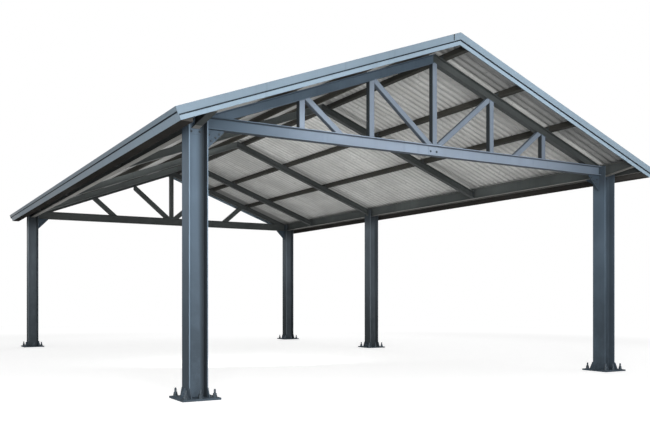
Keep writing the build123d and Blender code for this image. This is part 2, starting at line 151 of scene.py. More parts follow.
class CarportTrim(PropertyGroup):
    """Sizes of the stepped barge boards and gutters."""
    upper: length("Upper strip", "Height of the upper strip", 0.076)
    lower: length("Lower strip", "Height of the lower strip", 0.056)
    gutter_upper: length("Gutter's upper strip", "Height of the gutter's upper strip", 0.046)
    step: length("Step", "Set-back of the lower strip", 0.012)
    thick: length("Thickness", "Thickness of the folded sheet", 0.0015)
    hem: length("Hem", "Width of folded edges", 0.003)
    slot: length("Slot", "Height of the shadow gap between the strips", 0.013)
    groove: length("Groove", "Depth of the shadow gap behind the lower strip", 0.0035)
    bead: length("Bead", "Width of the gutter's folded lip", 0.016)
    joint_x: length("Peak joint", "Distance of the peak joint from the ridge", 0.09)
    joint_gap: length("Joint gap", "Open width of the peak joint", 0.014)
    strap_gap: length("Strap spacing", "Distance between gutter straps", 0.9)


class CarportEave(PropertyGroup):
    """Sizes of the eave beams."""
    flange: length("Flange", "Thickness of a flange", 0.008)
    web: length("Web", "Thickness of the web", 0.006)
    root: length("Root", "Radius between web and flange", 0.007)
    rise: length("Stub rise", "Rise of a stub's lower flange towards the barge board", 0.07)


class CarportFasteners(PropertyGroup):
    """Sizes of bolts, nuts, studs and small plates."""
    bolt_reach: length("Anchor reach", "Distance of the anchor bolts from the post's middle", 0.15)
    anchor: length("Anchor radius", "Radius of an anchor stud", 0.0115)
    anchor_height: length("Anchor height", "Height of a stud over its base plate", 0.086)
    bolt: length("Bolt radius", "Radius of a frame bolt", 0.0065)
    small_bolt: length("Small bolt radius", "Radius of a purlin bolt", 0.006)
    screw: length("Screw radius", "Radius of a roof screw", 0.0035)
    plate: length("Plate thickness", "Thickness of cleats and end plates", 0.006)
    knee_across: length("Knee reach", "Reach of a knee plate along a tie beam", 0.21)
    knee_down: length("Knee drop", "Reach of a knee plate down a post", 0.212)
    side_knee_along: length("Side knee reach", "Reach of a side knee along an eave beam", 0.29)
    side_knee_down: length("Side knee drop", "Reach of a side knee down a post", 0.175)
    knee_nose: length("Knee nose", "Blunt end of a knee plate", 0.014)
    knee_thick: length("Knee thickness", "Thickness of a knee plate", 0.01)
    weld: length("Weld size", "Radius of a weld bead", 0.006)


class CarportFinish(PropertyGroup):
    """Colours of the finishes."""
    paint: coat_colour("Frame paint", "Colour of posts and chords", 0.12, 0.165, 0.215)
    # Greyer copy of the frame paint for the posts further in, toned for the light there: painted light and
    # shade
    inner_paint: coat_colour("Inner post paint", "Colour of the posts further in", 0.118, 0.142, 0.165)
    truss: coat_colour("Truss paint", "Colour of the front truss", 0.3, 0.363, 0.45)
    # Darker copy of the frame paint for the steel under the roof: painted shade
    shade_paint: coat_colour("Sheltered paint", "Colour of the steel under the roof", 0.08, 0.089, 0.088)
    # Dark primer, darkened further as painted shade under the roof
    purlin: coat_colour("Purlin primer", "Colour of the purlins", 0.065, 0.063, 0.055)
    trim: coat_colour("Trim", "Colour of barge boards and gutters", 0.215, 0.282, 0.343)
    sheet: coat_colour("Sheeting", "Colour of the corrugated sheeting", 0.75, 0.755, 0.735)
    steel: coat_colour("Bolt steel", "Colour of bolts and studs", 0.045, 0.06, 0.074)
    # Colour of grime on the steel, and of the painted shade that the paints darken towards
    grime_and_shade: coat_colour("Grime", "Colour of dirt on the steel", 0.03, 0.034, 0.036)
    # Colour of the painted shade under the eaves and in the gutter troughs
    eave_shade: coat_colour("Eave grime", "Colour of thick dirt under the eaves", 0.03, 0.0285, 0.0265)
    # Colour of the painted light on the eave beams' undersides
    painted_lit_sole: coat_colour("Pale sole", "Colour of the eave beams' undersides", 0.34, 0.335, 0.315)


class CarportStage(PropertyGroup):
    """Camera, lamps and floor."""
    camera: FloatVectorProperty(name="Camera place", description="Where the camera stands",
                                default=(-5.696, -11.8, 0.9956), subtype="TRANSLATION", unit="LENGTH", size=3)
    turn: FloatProperty(name="Camera turn", default=0.517, subtype="ANGLE",
                        description="Turn of the view to the right of the carport's length")
    focal_pixels: number("Focal length", "Focal length in pixels of the image", 753.9)
    middle_u: number("Centre across", "Pixel column of the view axis", 312.1)
    middle_v: number("Centre down", "Pixel row of the view axis", 298.7)
    floor: length("Floor size", "Side of the floor", 160.0)
    ambient: number("Ambient", "Strength of the even light from all round", 0.33)
    key: power("Key lamp", "Power of the main lamp", 540.0)
    fill: power("Fill lamp", "Power of the weaker lamp", 150.0)
    low: power("Low lamp", "Power of the lamp that shines in under the roof", 280.0)
    side: power("Side lamp", "Power of the lamp on the left", 85.0)
    bay: power("Bay lamp", "Power of the lamp inside the bay", 48.0)
    back: power("Back lamp", "Power of the lamp behind", 350.0)


class CarportSettings(PropertyGroup):
    """All settings of the carport."""
    roof: PointerProperty(type=CarportRoof)
    trim: PointerProperty(type=CarportTrim)
    eave: PointerProperty(type=CarportEave)
    fasteners: PointerProperty(type=CarportFasteners)
    finish: PointerProperty(type=CarportFinish)
    stage: PointerProperty(type=CarportStage)


def settings():
    """The carport's settings on the current scene."""
    return bpy.context.scene.carport


def slope_point(side, run, lift, y=0.0):
    """Point a run down one slope, lifted square off the rafter tops."""
    return Vector((side * (run * LEAN + lift * SINK), y, RIDGE_Z - run * SINK + lift * LEAN))


def slope_down(side):
    """Direction down one slope."""
    return Vector((side * LEAN, 0, -SINK))


def slope_out(side):
    """Direction square off one slope."""
    return Vector((side * SINK, 0, LEAN))


def stand(at, axis=UP):
    """Frame at a point with its Z along an axis."""
    return Matrix.Translation(at) @ Vector(axis).to_track_quat("Z", "Y").to_matrix().to_4x4()


def slope_stand(side, run, lift, y):
    """Frame on one slope: X down the slope, Y along the carport, Z square off it."""
    down, out = slope_down(side), slope_out(side)
    turn = Matrix((down, out.cross(down), out)).transposed().to_4x4()
    return Matrix.Translation(slope_point(side, run, lift, y)) @ turn


def barrel(bm, place, low, high, foot, top, sides):
    """Round or six-sided body between two heights of a frame, with its radius at the foot and at the top."""
    middle = place @ Matrix.Translation((0, 0, (low + high) / 2))
    bmesh.ops.create_cone(bm, cap_ends=True, segments=sides, radius1=foot, radius2=top,
                          depth=high - low, matrix=middle)


# Fasteners as stacked bodies: low end, high end, foot radius and top radius in bolt radii, then sides
BOLT_HEAD = ((0.0, 0.35, 2.1, 2.1, 14), (0.35, 1.325, 1.75, 1.75, 6), (1.325, 1.65, 1.75, 1.4, 6))
NUT_AND_TIP = (*BOLT_HEAD, (1.0, 2.6, 1.0, 0.85, 10))
ANCHOR_NUTS = (
    (0.0, 0.5, 2.7, 2.7, 18),
    (0.5, 2.0, 2.0, 2.0, 6),
    (2.0, 2.3, 2.0, 1.65, 6),
    (2.3, 3.6, 1.7, 1.7, 6),
    (3.6, 3.9, 1.7, 1.35, 6),
)
ROOF_SCREW = ((-0.5, 0.6, 2.6, 2.2, 10), (0.6, 2.0, 1.5, 1.5, 6))


def fastener(bm, place, radius, bodies=BOLT_HEAD):
    """Bodies set one on another along a frame's Z."""
    for low, high, foot, top, sides in bodies:
        barrel(bm, place, low * radius, high * radius, foot * radius, top * radius, sides)


def four(across, up):
    """Four points round a middle, from their distances across and up."""
    return [(side * across, rise * up) for side in (-1, 1) for rise in (-1, 1)]


def slab(bm, place, size, shift=(0, 0, 0)):
    """Plain plate centred on a frame, shifted in that frame."""
    bmesh.ops.create_cube(bm, size=1, matrix=place @ Matrix.Translation(shift) @ Matrix.Diagonal((*size, 1)))


def folded(bm, chain, travel):
    """Open folded sheet: a chain of points drawn along a direction, its faces in the chain's order."""
    verts = [bm.verts.new(point) for point in chain]
    edges = [bm.edges.new(pair) for pair in zip(verts, verts[1:])]
    drawn = bmesh.ops.extrude_edge_only(bm, edges=edges)["geom"]
    bmesh.ops.translate(bm, verts=[g for g in drawn if isinstance(g, bmesh.types.BMVert)], vec=travel)
    faces = [edge.link_faces[0] for edge in edges]
    bmesh.ops.recalc_face_normals(bm, faces=faces)
    return faces


def prism(bm, points, travel):
    """Closed body: a flat outline drawn along a direction; gives back the corners at the far end."""
    face = bm.faces.new([bm.verts.new(point) for point in points])
    drawn = bmesh.ops.extrude_face_region(bm, geom=[face])["geom"]
    far = [g for g in drawn if isinstance(g, bmesh.types.BMVert)]
    bmesh.ops.translate(bm, verts=far, vec=travel)
    return far


def cut(bm, place, normal, clear=True):
    """Cuts along a plane and, unless clear is off, takes away the side that the normal points to."""
    geom = [*bm.verts, *bm.edges, *bm.faces]
    bmesh.ops.bisect_plane(bm, geom=geom, plane_co=place, plane_no=normal, clear_outer=clear)


def thicken(bm, thick):
    """Turns open sheet into a closed body."""
    bmesh.ops.solidify(bm, geom=bm.faces[:], thickness=thick)


def piece(name, bm, finishes, replaces=(), crease=0.6):
    """Makes a finished piece from a bmesh and seats it on the frame."""
    bmesh.ops.recalc_face_normals(bm, faces=bm.faces)
    mesh = bpy.data.meshes.new(name)
    bm.to_mesh(mesh)
    bm.free()
    for face in mesh.polygons:
        face.use_smooth = True
    mesh.set_sharp_from_angle(angle=crease)
    for coat in finishes:
        mesh.materials.append(finish(coat))
    made = bpy.data.objects.new(name, mesh)
    bpy.context.scene.collection.objects.link(made)
    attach(made, "root")
    if replaces:
        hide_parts(*replaces)
    return made


class Nodes:
    """Short way to build one node material."""

    def __init__(self, name):
        self.material = bpy.data.materials.new(name)
        self.material.use_nodes = True
        self.tree = self.material.node_tree
        self.shader = self.tree.nodes["Principled BSDF"]
        self.coord = self.tree.nodes.new("ShaderNodeTexCoord").outputs["Object"]

    def link(self, out, socket):
        """Joins an output to an input."""
        self.tree.links.new(out, socket)

    def drive(self, value, name):
        """Leads a value to one of the shader's inputs."""
        self.link(value, self.shader.inputs[name])

    def hold(self, name, value):
        """Sets one of the shader's inputs to the same value all over."""
        self.shader.inputs[name].default_value = value

    def stretched(self, scale):
        """Object coordinates drawn out along some axes."""
        node = self.tree.nodes.new("ShaderNodeMapping")
        node.inputs["Scale"].default_value = scale
        self.link(self.coord, node.inputs["Vector"])
        return node.outputs["Vector"]

    def noise(self, scale, detail=4.0, rough=0.55, stretch=None):
        """Soft random pattern."""
        node = self.tree.nodes.new("ShaderNodeTexNoise")
        for name, value in (("Scale", scale), ("Detail", detail), ("Roughness", rough)):
            node.inputs[name].default_value = value
        self.link(self.stretched(stretch) if stretch else self.coord, node.inputs["Vector"])
        return node.outputs["Fac"]

    def ramp(self, value, low, high, out_low=0.0, out_high=1.0):
        """Value mapped from one span to another, held at the ends."""
        node = self.tree.nodes.new("ShaderNodeMapRange")
        node.interpolation_type = "SMOOTHSTEP"
        ends = {"From Min": low, "From Max": high, "To Min": out_low, "To Max": out_high}
        for name, end in ends.items():
            node.inputs[name].default_value = end
        self.link(value, node.inputs["Value"])
        return node.outputs["Result"]

    def math(self, operation, *values):
        """Sum on values and plain numbers."""
        node = self.tree.nodes.new("ShaderNodeMath")
        node.operation = operation
        for socket, value in zip(node.inputs, values):
            if isinstance(value, (int, float)):
                socket.default_value = value
            else:
                self.link(value, socket)
        return node.outputs["Value"]

    def times(self, first, second):
        """Product of two values."""
        return self.math("MULTIPLY", first, second)

    def most(self, first, second):
        """Larger of two values."""
        return self.math("MAXIMUM", first, second)

    def unsigned(self, value):
        """Value without its sign."""
        return self.math("ABSOLUTE", value)

    def mix(self, factor, first, second):
        """Second colour laid over the first."""
        node = self.tree.nodes.new("ShaderNodeMix")
        node.data_type = "RGBA"
        for socket, value in ((node.inputs[0], factor), (node.inputs[6], first), (node.inputs[7], second)):
            if isinstance(value, tuple):
                socket.default_value = (*value, 1.0)
            else:
                self.link(value, socket)
        return node.outputs[2]

    def axis(self, vector, letter):
        """One part of a vector."""
        node = self.tree.nodes.new("ShaderNodeSeparateXYZ")
        self.link(vector, node.inputs["Vector"])
        return node.outputs[letter]

    def place(self, letter):
        """Place along one axis of the carport."""
        return self.axis(self.coord, letter)

    def facing(self, letter):
        """How far the surface faces along one axis."""
        return self.axis(self.tree.nodes.new("ShaderNodeNewGeometry").outputs["Normal"], letter)

    def bump(self, height, strength, distance):
        """Fine relief."""
        node = self.tree.nodes.new("ShaderNodeBump")
        node.inputs["Strength"].default_value = strength
        node.inputs["Distance"].default_value = distance
        self.link(height, node.inputs["Height"])
        self.drive(node.outputs["Normal"], "Normal")


def tone(colour, share):
    """Colour made lighter or darker by a share."""
    return tuple(min(1.0, channel * share) for channel in colour)


# Where the paint is marked, in metres: depths of painted shade between a post's flanges, painted highlights
# on flange edges, darkening at post feet, painted shade at heads and eaves, painted light on the truss and to
# the right
RECESS_START, RECESS_FULL = 0.055, 0.088
LEE_START, LEE_FULL = 0.005, 0.085
FLANGE_FACE = 0.094
FOOT_DARK_TOP = 2.4
FOOT_DARK_FULL = 0.3
EDGE_WIDTH = 0.002
HEAD_SHADE = 0.35
OUTER_START, OUTER_FULL = POST_X + 0.01, POST_X + 0.03
# Painted light: the truss paint is lighter round this middle and darker towards the ends
LIT_MIDDLE_X, FALLOFF_START, FALLOFF_END = 0.5, 1.15, 3.2
# Painted light: the paint grows lighter towards the right
SIDE_LIGHT_X = 1.5
# Sheet undersides darker over the overhangs beyond the trusses
OVERHANG_START, OVERHANG_FULL = REAR_Y - 0.06, REAR_Y + 0.03
# Share of painted shade on the eave stubs, and the scales along X, Y and Z that draw run marks out
STUB_SHADE = 0.45
RUN_STRETCH = (9.0, 9.0, 0.7)
SHEET_RUN_STRETCH = (0.5, 11.0, 0.5)


def edge_planes():
    """Places along the carport of the posts' flange edges."""
    boxes = [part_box(f"{post}_post") for post in POSTS]
    return sorted({round(corner.y, 4) for box in boxes for corner in box})


def foot_darkening(made):
    """Ragged darkening that thickens towards the foot of a post."""
    low = made.ramp(made.place("Z"), FOOT_DARK_TOP, 0.0, 0.0, 0.62)
    ragged = made.ramp(made.noise(5.0, 6.0, 0.65), 0.2, 0.62, 0.55, 1.0)
    return made.times(low, ragged)


def recess_shade(made, recess):
    """Painted shade deep between the flanges of a post, and on its right where a recess share is given."""
    offset = made.math("SUBTRACT", made.unsigned(made.place("X")), POST_X)
    off = made.unsigned(offset)
    deep = made.ramp(off, RECESS_START, RECESS_FULL, 0.0, 0.5)
    if recess:
        lee = made.times(offset, made.math("SIGN", made.place("X")))
        deep = made.most(deep, made.ramp(lee, LEE_START, LEE_FULL, 0.0, recess))
    return made.times(deep, made.math("LESS_THAN", off, FLANGE_FACE))


def edge_highlight(made, plane, runs):
    """Painted highlight along one flange edge."""
    near = made.math("COMPARE", made.place("Y"), plane, EDGE_WIDTH)
    faced = made.ramp(made.unsigned(made.facing("Y")), 0.8, 0.95)
    return made.times(made.times(near, faced), made.ramp(runs, 0.3, 0.6, 0.35, 0.75))


def eave_painted_shade(made, outside):
    """Painted shade on the outer half of an eave beam and all over its stubs."""
    between = made.math("LESS_THAN", made.unsigned(made.place("Y")), REAR_Y)
    outer = made.ramp(made.unsigned(made.place("X")), OUTER_START, OUTER_FULL, 0.0, outside)
    stub = made.times(made.math("SUBTRACT", 1.0, between), STUB_SHADE)
    return made.most(made.times(outer, between), stub)


def painted_lit_sole(made, runs):
    """Painted light: pale underside of an eave beam, but not of the stubs on the left."""
    sole = made.ramp(made.facing("Z"), -0.8, -0.98, 0.0, 0.9)
    between = made.math("LESS_THAN", made.unsigned(made.place("Y")), REAR_Y + POST_HALF)
    shown = made.most(between, made.math("GREATER_THAN", made.place("X"), 0.0))
    return made.times(made.times(sole, shown), made.ramp(runs, 0.3, 0.7, 1.0, 0.75))


def painted(name, colour, colours, grime_and_shade="grime_and_shade", under=0.5, rough=0.42, blotch=0.16, sheen=0.04, side=0.0,
            post=False, recess=0.0, head=0.0, outside=0.0, painted_falloff=0.0, painted_side_light=0.0):
    """Weathered satin paint: soft blotches, run marks, fine orange peel, darkening towards post feet, painted
    shade on undersides, sides, recesses, heads and eaves, painted highlights and painted light.
    """
    made = Nodes(name)
    cloud = made.noise(0.9, 3.0)
    runs = made.noise(2.2, 5.0, 0.6, RUN_STRETCH)
    specks = made.noise(70.0, 2.0)
    shade = made.mix(made.ramp(cloud, 0.35, 0.68), tone(colour, 1 - blotch), tone(colour, 1 + blotch))
    shade = made.mix(made.ramp(runs, 0.5, 0.78, 0.0, 0.3), shade, tone(colour, 0.62))
    shade = made.mix(made.ramp(specks, 0.66, 0.74, 0.0, 0.35), shade, tone(colour, 0.7))
    # Painted light: the paint grows lighter towards the right
    if painted_side_light:
        lit_side = made.ramp(made.place("X"), -SIDE_LIGHT_X, SIDE_LIGHT_X, 0.0, 0.85)
        shade = made.mix(lit_side, shade, tone(colour, painted_side_light))
    # Painted shade on faces that look down
    darkening = made.times(made.ramp(made.facing("Z"), -0.25, -0.95), under)
    # Painted shade on faces that look sideways; on posts it grows towards the foot
    if side:
        sides = made.ramp(made.unsigned(made.facing("X")), 0.45, 0.85, 0.0, side)
        if post:
            sides = made.times(sides, made.ramp(made.place("Z"), FOOT_DARK_TOP, FOOT_DARK_FULL, 0.05, 1.0))
        darkening = made.most(darkening, sides)
    if post:
        # Darker towards the foot of a post
        darkening = made.most(darkening, foot_darkening(made))
        # Painted shade in the recess between the flanges
        darkening = made.most(darkening, recess_shade(made, recess))
        # Painted highlights along the flange edges
        for plane in edge_planes():
            shade = made.mix(edge_highlight(made, plane, runs), shade, tone(colour, 2.6))
    # Painted shade at the head of a post, under the eaves
    if head:
        darkening = made.most(darkening, made.ramp(made.place("Z"), EAVE_LOW - HEAD_SHADE, EAVE_LOW, 0.0, head))
    # Painted shade on the outer half of the eave beams and on their stubs
    if outside:
        darkening = made.most(darkening, eave_painted_shade(made, outside))
    # Painted light: lighter round the middle of the truss, darker towards its ends
    if painted_falloff:
        away = made.unsigned(made.math("SUBTRACT", made.place("X"), LIT_MIDDLE_X))
        shade = made.mix(made.ramp(away, FALLOFF_START, FALLOFF_END), shade, tone(colours.paint, painted_falloff))
    # Lays the darkening on in the colour of grime and painted shade
    shade = made.mix(darkening, shade, tuple(getattr(colours, grime_and_shade)))
    # Painted light on the undersides of the eave beams
    if outside:
        shade = made.mix(painted_lit_sole(made, runs), shade, tuple(colours.painted_lit_sole))
    made.drive(shade, "Base Color")
    made.drive(made.ramp(made.math("ADD", cloud, darkening), 0.3, 1.2, rough - 0.08, rough + 0.25), "Roughness")
    made.hold("Specular IOR Level", sheen)
    made.bump(made.noise(160.0, 2.0), 0.12, 0.0012)


def sheeting(name, colours):
    """Weathered galvanised sheet: faint spangle, run marks down the slope, dirt in patches, dust with painted
    shade in the furrows, undersides darker over the overhangs.
    """
    made = Nodes(name)
    colour, grime_and_shade = tuple(colours.sheet), tuple(colours.grime_and_shade)
    warm = (colour[0], colour[1], colour[2] * 0.94)
    spangle = made.tree.nodes.new("ShaderNodeTexVoronoi")
    spangle.inputs["Scale"].default_value = 48.0
    made.link(made.coord, spangle.inputs["Vector"])
    patches = made.noise(1.3, 5.0, 0.6)
    runs = made.noise(1.4, 6.0, 0.62, SHEET_RUN_STRETCH)
    flecks = made.noise(26.0, 4.0, 0.7)
    shade = made.mix(made.ramp(patches, 0.36, 0.64), tone(colour, 0.82), tone(colour, 1.1))
    shade = made.mix(made.ramp(runs, 0.45, 0.75, 0.0, 0.4), shade, tone(warm, 0.68))
    shade = made.mix(made.ramp(spangle.outputs["Distance"], 0.1, 0.7, 0.0, 0.1), shade, tone(colour, 1.3))
    # Furrows darker: dust lines and painted shade of the corrugations
    turn = 2 * math.pi * wave_count() / (2 * SHEET_END)
    wave = made.math("COSINE", made.times(made.math("ADD", made.place("Y"), SHEET_END), turn))
    furrow_dust_and_shade = made.times(made.ramp(wave, -0.2, 0.95), made.ramp(runs, 0.3, 0.7, 0.25, 0.6))
    shade = made.mix(furrow_dust_and_shade, shade, tone(colour, 0.5))
    stain = made.times(made.ramp(flecks, 0.55, 0.75), made.ramp(patches, 0.3, 0.6, 0.15, 0.55))
    shade = made.mix(stain, shade, tone(grime_and_shade, 3.4))
    # Undersides darker over the overhangs beyond the trusses
    overhang = made.ramp(made.unsigned(made.place("Y")), OVERHANG_START, OVERHANG_FULL, 0.0, 0.57)
    below = made.math("LESS_THAN", made.facing("Z"), 0.0)
    shade = made.mix(made.times(overhang, below), shade, grime_and_shade)
    made.drive(shade, "Base Color")
    made.hold("Specular IOR Level", 0.3)
    made.drive(made.ramp(patches, 0.3, 0.7, 0.48, 0.66), "Roughness")
    made.bump(made.noise(9.0, 4.0), 0.18, 0.004)


def bare_steel(name, colours):
    """Dull zinc-coated bolt steel with darker stains."""
    made = Nodes(name)
    colour = colours.steel
    stain = made.noise(55.0, 4.0, 0.6)
    made.drive(made.mix(made.ramp(stain, 0.4, 0.66), tone(colour, 1.35), tone(colour, 0.55)), "Base Color")
    made.hold("Metallic", 0.35)
    made.drive(made.ramp(stain, 0.35, 0.7, 0.38, 0.62), "Roughness")
    made.bump(made.noise(240.0, 2.0), 0.15, 0.0006)


# Paints: a colour among the settings, the share of it that is used, and the marks that the paint carries;
# several are lit and shaded copies of one paint, painted light and shade
PAINTS = {
    "post_paint": ("paint", 1.0, {"post": True, "under": 0.6}),
    # Front-left post: a lighter copy of the frame paint, painted light, with painted shade on its sides and
    # recess
    "left_post_paint": ("paint", 1.12, {"post": True, "under": 0.6, "side": 0.65, "recess": 0.85}),
    # Front-right post: a darker copy of the frame paint, painted shade, with painted shade at its head
    "right_post_paint": ("paint", 0.95, {
        "post": True, "under": 0.6, "side": 0.45, "recess": 0.5, "head": 0.65,
    }),
    # Posts further in: a greyer copy of the frame paint, painted light and shade, with painted shade at the
    # head
    "inner_post_paint": ("inner_paint", 1.3, {"post": True, "side": 0.8, "head": 0.75}),
    # Knee plates: a darker copy of the frame paint, painted shade
    "knee_paint": ("paint", 0.62, {"under": 0.6}),
    # Front tie: painted light, lighter mid-span and darker towards the ends
    "truss_paint": ("truss", 1.12, {"under": 0.7, "painted_falloff": 0.82}),
    # Truss tubes: a darker copy of the truss paint with painted shade on their sides
    "tube_paint": ("truss", 0.8, {"under": 0.8, "side": 0.96}),
    # Painted shade: the steel under the roof, the right chord and the rear truss
    "sheltered_paint": ("shade_paint", 1.0, {"under": 0.35, "rough": 0.5, "sheen": 0.15}),
    # Left rafters: a lighter copy of the painted shade, painted light
    "left_rafter_paint": ("shade_paint", 1.8, {"under": 0.1, "rough": 0.5, "sheen": 0.15}),
    # Purlins: primer darkened as painted shade
    "purlin_primer": ("purlin", 1.0, {"under": 0.3, "rough": 0.62, "blotch": 0.25, "sheen": 0.1}),
    # Left purlins: a lighter copy of the purlin primer, painted light
    "left_purlin_primer": ("purlin", 1.8, {"under": 0.1, "rough": 0.62, "blotch": 0.25, "sheen": 0.1}),
    # Eave beams: painted shade on the outer half and the stubs, painted light on the undersides
    "eave_paint": ("shade_paint", 1.4, {"grime_and_shade": "eave_shade", "under": 0.0, "rough": 0.5, "outside": 0.55}),
    # Gutter troughs: a near-black paint that stands in for their shade, painted shade
    "sole_paint": ("eave_shade", 1.7, {"under": 0.0, "rough": 0.6, "sheen": 0.0}),
    # Shadow gap: a dark copy of the trim paint, painted shade
    "groove_paint": ("trim", 0.16, {"under": 0.0, "rough": 0.6}),
    # Trims: painted light, lighter towards the right
    "trim_paint": ("trim", 0.9, {"under": 0.55, "rough": 0.36, "blotch": 0.06, "painted_side_light": 1.78}),
    "lower_trim_paint": ("trim", 1.16, {"under": 0.55, "rough": 0.36, "blotch": 0.06, "painted_side_light": 1.65}),
}
OTHER_FINISHES = {"galvanised_sheet": sheeting, "bolt_steel": bare_steel}
STRIP_FINISHES = ("trim_paint", "groove_paint", "lower_trim_paint")
# Finishes of the frame's members: shaded copies of the paint under the roof, on the right chord and on the
# rear truss, lit copies on the left, painted light and shade
NODE_FINISHES = (
    (("middle_right_post", "rear_right_post", "rear_left_post"), "inner_post_paint"),
    (("front_left_post",), "left_post_paint"),
    (("front_right_post",), "right_post_paint"),
    (("knee_plates",), "knee_paint"),
    (("left_purlins",), "left_purlin_primer"),
    (("_left_rafter",), "left_rafter_paint"),
    (("_purlins",), "purlin_primer"),
    (("_eave_beam", "_fascia"), "eave_paint"),
    (("_rafter", "gutter_brackets", "right_chord", "rear_tie", "rear_left_chord",
      "rear_king", "rear_web"), "sheltered_paint"),
    (("_barge", "_gutter", "ridge_cap"), "trim_paint"),
    (("front_king", "front_web"), "tube_paint"),
    (("front_tie",), "truss_paint"),
    (("_roof_sheet",), "galvanised_sheet"),
)


def finish(name):
    """Finish by its name, made on first use."""
    if name not in bpy.data.materials:
        colours = settings().finish
        if name in OTHER_FINISHES:
            OTHER_FINISHES[name](name, colours)
        else:
            kind, share, marks = PAINTS[name]
            painted(name, tone(getattr(colours, kind), share), colours, **marks)
    return bpy.data.materials[name]


def node_finish(node):
    """Name of the finish that a member of the frame gets."""
    for words, name in NODE_FINISHES:
        if any(word in node for word in words):
            return name
    return "post_paint"


class CARPORT_OT_finishes(Operator):
    """Give every steel member of the frame its finish"""
    bl_idname = "carport.finishes"
    bl_label = "Finish the frame"

    def execute(self, context):
        for node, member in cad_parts.items():
            member.data.materials.clear()
            member.data.materials.append(finish(node_finish(node)))
        return {"FINISHED"}


# Angle in radians under which edges of rounded pieces stay smooth
ROUND_CREASE = 1.2


def wave_count():
    """Corrugations along the whole roof."""
    return int(2 * SHEET_END / settings().roof.wave_pitch)


def crest_y(wave):
    """Place along the carport of one crest."""
    return -SHEET_END + (wave + 0.5) * 2 * SHEET_END / wave_count()


class CARPORT_OT_sheeting(Operator):
    """Lay the corrugated sheets, lapped one over the next"""
    bl_idname = "carport.sheeting"
    bl_label = "Lay sheeting"

    def execute(self, context):
        roof = settings().roof
        waves = wave_count()
        pitch = 2 * SHEET_END / waves
        height = (SHEET_HIGH - SHEET_LOW - roof.sheet_thick - roof.lap_rise) / 2
        lap = pitch / 2
        for side_name, side in SIDES:
            bm = bmesh.new()
            for order, first in enumerate(range(0, waves, roof.cover_waves)):
                start = max(-SHEET_END, -SHEET_END + first * pitch - lap)
                stop = min(SHEET_END, -SHEET_END + (first + roof.cover_waves) * pitch + lap)
                middle = SHEET_LOW + roof.sheet_thick / 2 + height + (order % 2) * roof.lap_rise
                steps = round((stop - start) / pitch * roof.wave_steps)
                chain = []
                for index in range(steps + 1):
                    y = start + (stop - start) * index / steps
                    swing = -math.cos(2 * math.pi * (y + SHEET_END) / pitch)
                    chain.append(slope_point(side, 0, middle + height * swing, y))
                folded(bm, chain, slope_down(side) * SHEET_RUN)
            thicken(bm, roof.sheet_thick)
            piece(f"{side_name}_sheeting", bm, ("galvanised_sheet",),
                  (f"{side_name}_roof_sheet",), crease=ROUND_CREASE)
        return {"FINISHED"}


# Overlap of two ridge caps in metres, and how far a cap's lip runs outwards as a share of its height
CAP_LAP = 0.06
LIP_SPLAY = 0.35


class CARPORT_OT_ridge(Operator):
    """Fold the ridge caps and lap them along the ridge"""
    bl_idname = "carport.ridge"
    bl_label = "Fold ridge caps"

    def execute(self, context):
        roof, trim = settings().roof, settings().trim
        bm = bmesh.new()
        count = round(2 * CAP_END / roof.cap_length)
        for index in range(count):
            start = -CAP_END + 2 * CAP_END * index / count
            stop = min(CAP_END, -CAP_END + 2 * CAP_END * (index + 1) / count + CAP_LAP)
            apex = RIDGE_Z + (SHEET_HIGH + trim.thick * (0.5 + index % 2)) / LEAN
            edge_x = CAP_X - roof.cap_lip * LIP_SPLAY
            edge_z = apex - edge_x * RISE
            half = [Vector((CAP_X, start, edge_z - roof.cap_lip)), Vector((edge_x, start, edge_z))]
            other = [Vector((-point.x, point.y, point.z)) for point in reversed(half)]
            folded(bm, [*half, Vector((0, start, apex)), *other], Vector((0, stop - start, 0)))
        thicken(bm, trim.thick)
        piece("ridge_caps", bm, ("trim_paint",), ("ridge_cap",))
        return {"FINISHED"}


def strip_folds(trim, upper, inset):
    """Depth and lift of the folds from the upper strip's foot to the lower strip's foot."""
    fold, low = BARGE_TOP - upper, BARGE_TOP - trim.upper - trim.lower
    ledge, foot = fold + trim.slot / 2, fold - trim.slot
    hem, deep, face = inset + trim.hem, trim.step + trim.groove, trim.step + inset
    return [(inset, fold), (hem, fold), (hem, ledge), (deep, ledge), (deep, foot), (face, foot), (face, low)]


def barge_folds(trim, inset):
    """Depth and lift of the barge board's folds, from the cover's back edge down to the lower hem."""
    top, low = BARGE_TOP - inset, BARGE_TOP - trim.upper - trim.lower
    back = trim.step + trim.hem * 4
    cover = [(BARGE_COVER, top), (inset, top)]
    return [*cover, *strip_folds(trim, trim.upper, inset), (back, low), (back, low + trim.hem * 2)]


def tint_strips(faces, first):
    """Finishes of the shadow gap and the lower strip, counted from the fold at the upper strip's foot; the
    gap's dark finish is painted shade.
    """
    for face in faces[first + 2:first + 5]:
        face.material_index = 1
    for face in faces[first + 5:]:
        face.material_index = 2


def mitre(side, end):
    """Place and direction of the plane where a barge board meets a gutter."""
    corner = slope_point(side, BARGE_RUN, 0, end * BARGE_Y)
    return corner, (slope_down(side) + Vector((0, end, 0))).normalized()


# Dark strip behind the peak joint, a painted shadow: its depth in sheet thicknesses, its height as a share of
# the upper strip
BACKING_SETBACK = 6
BACKING_SHARE = 0.9


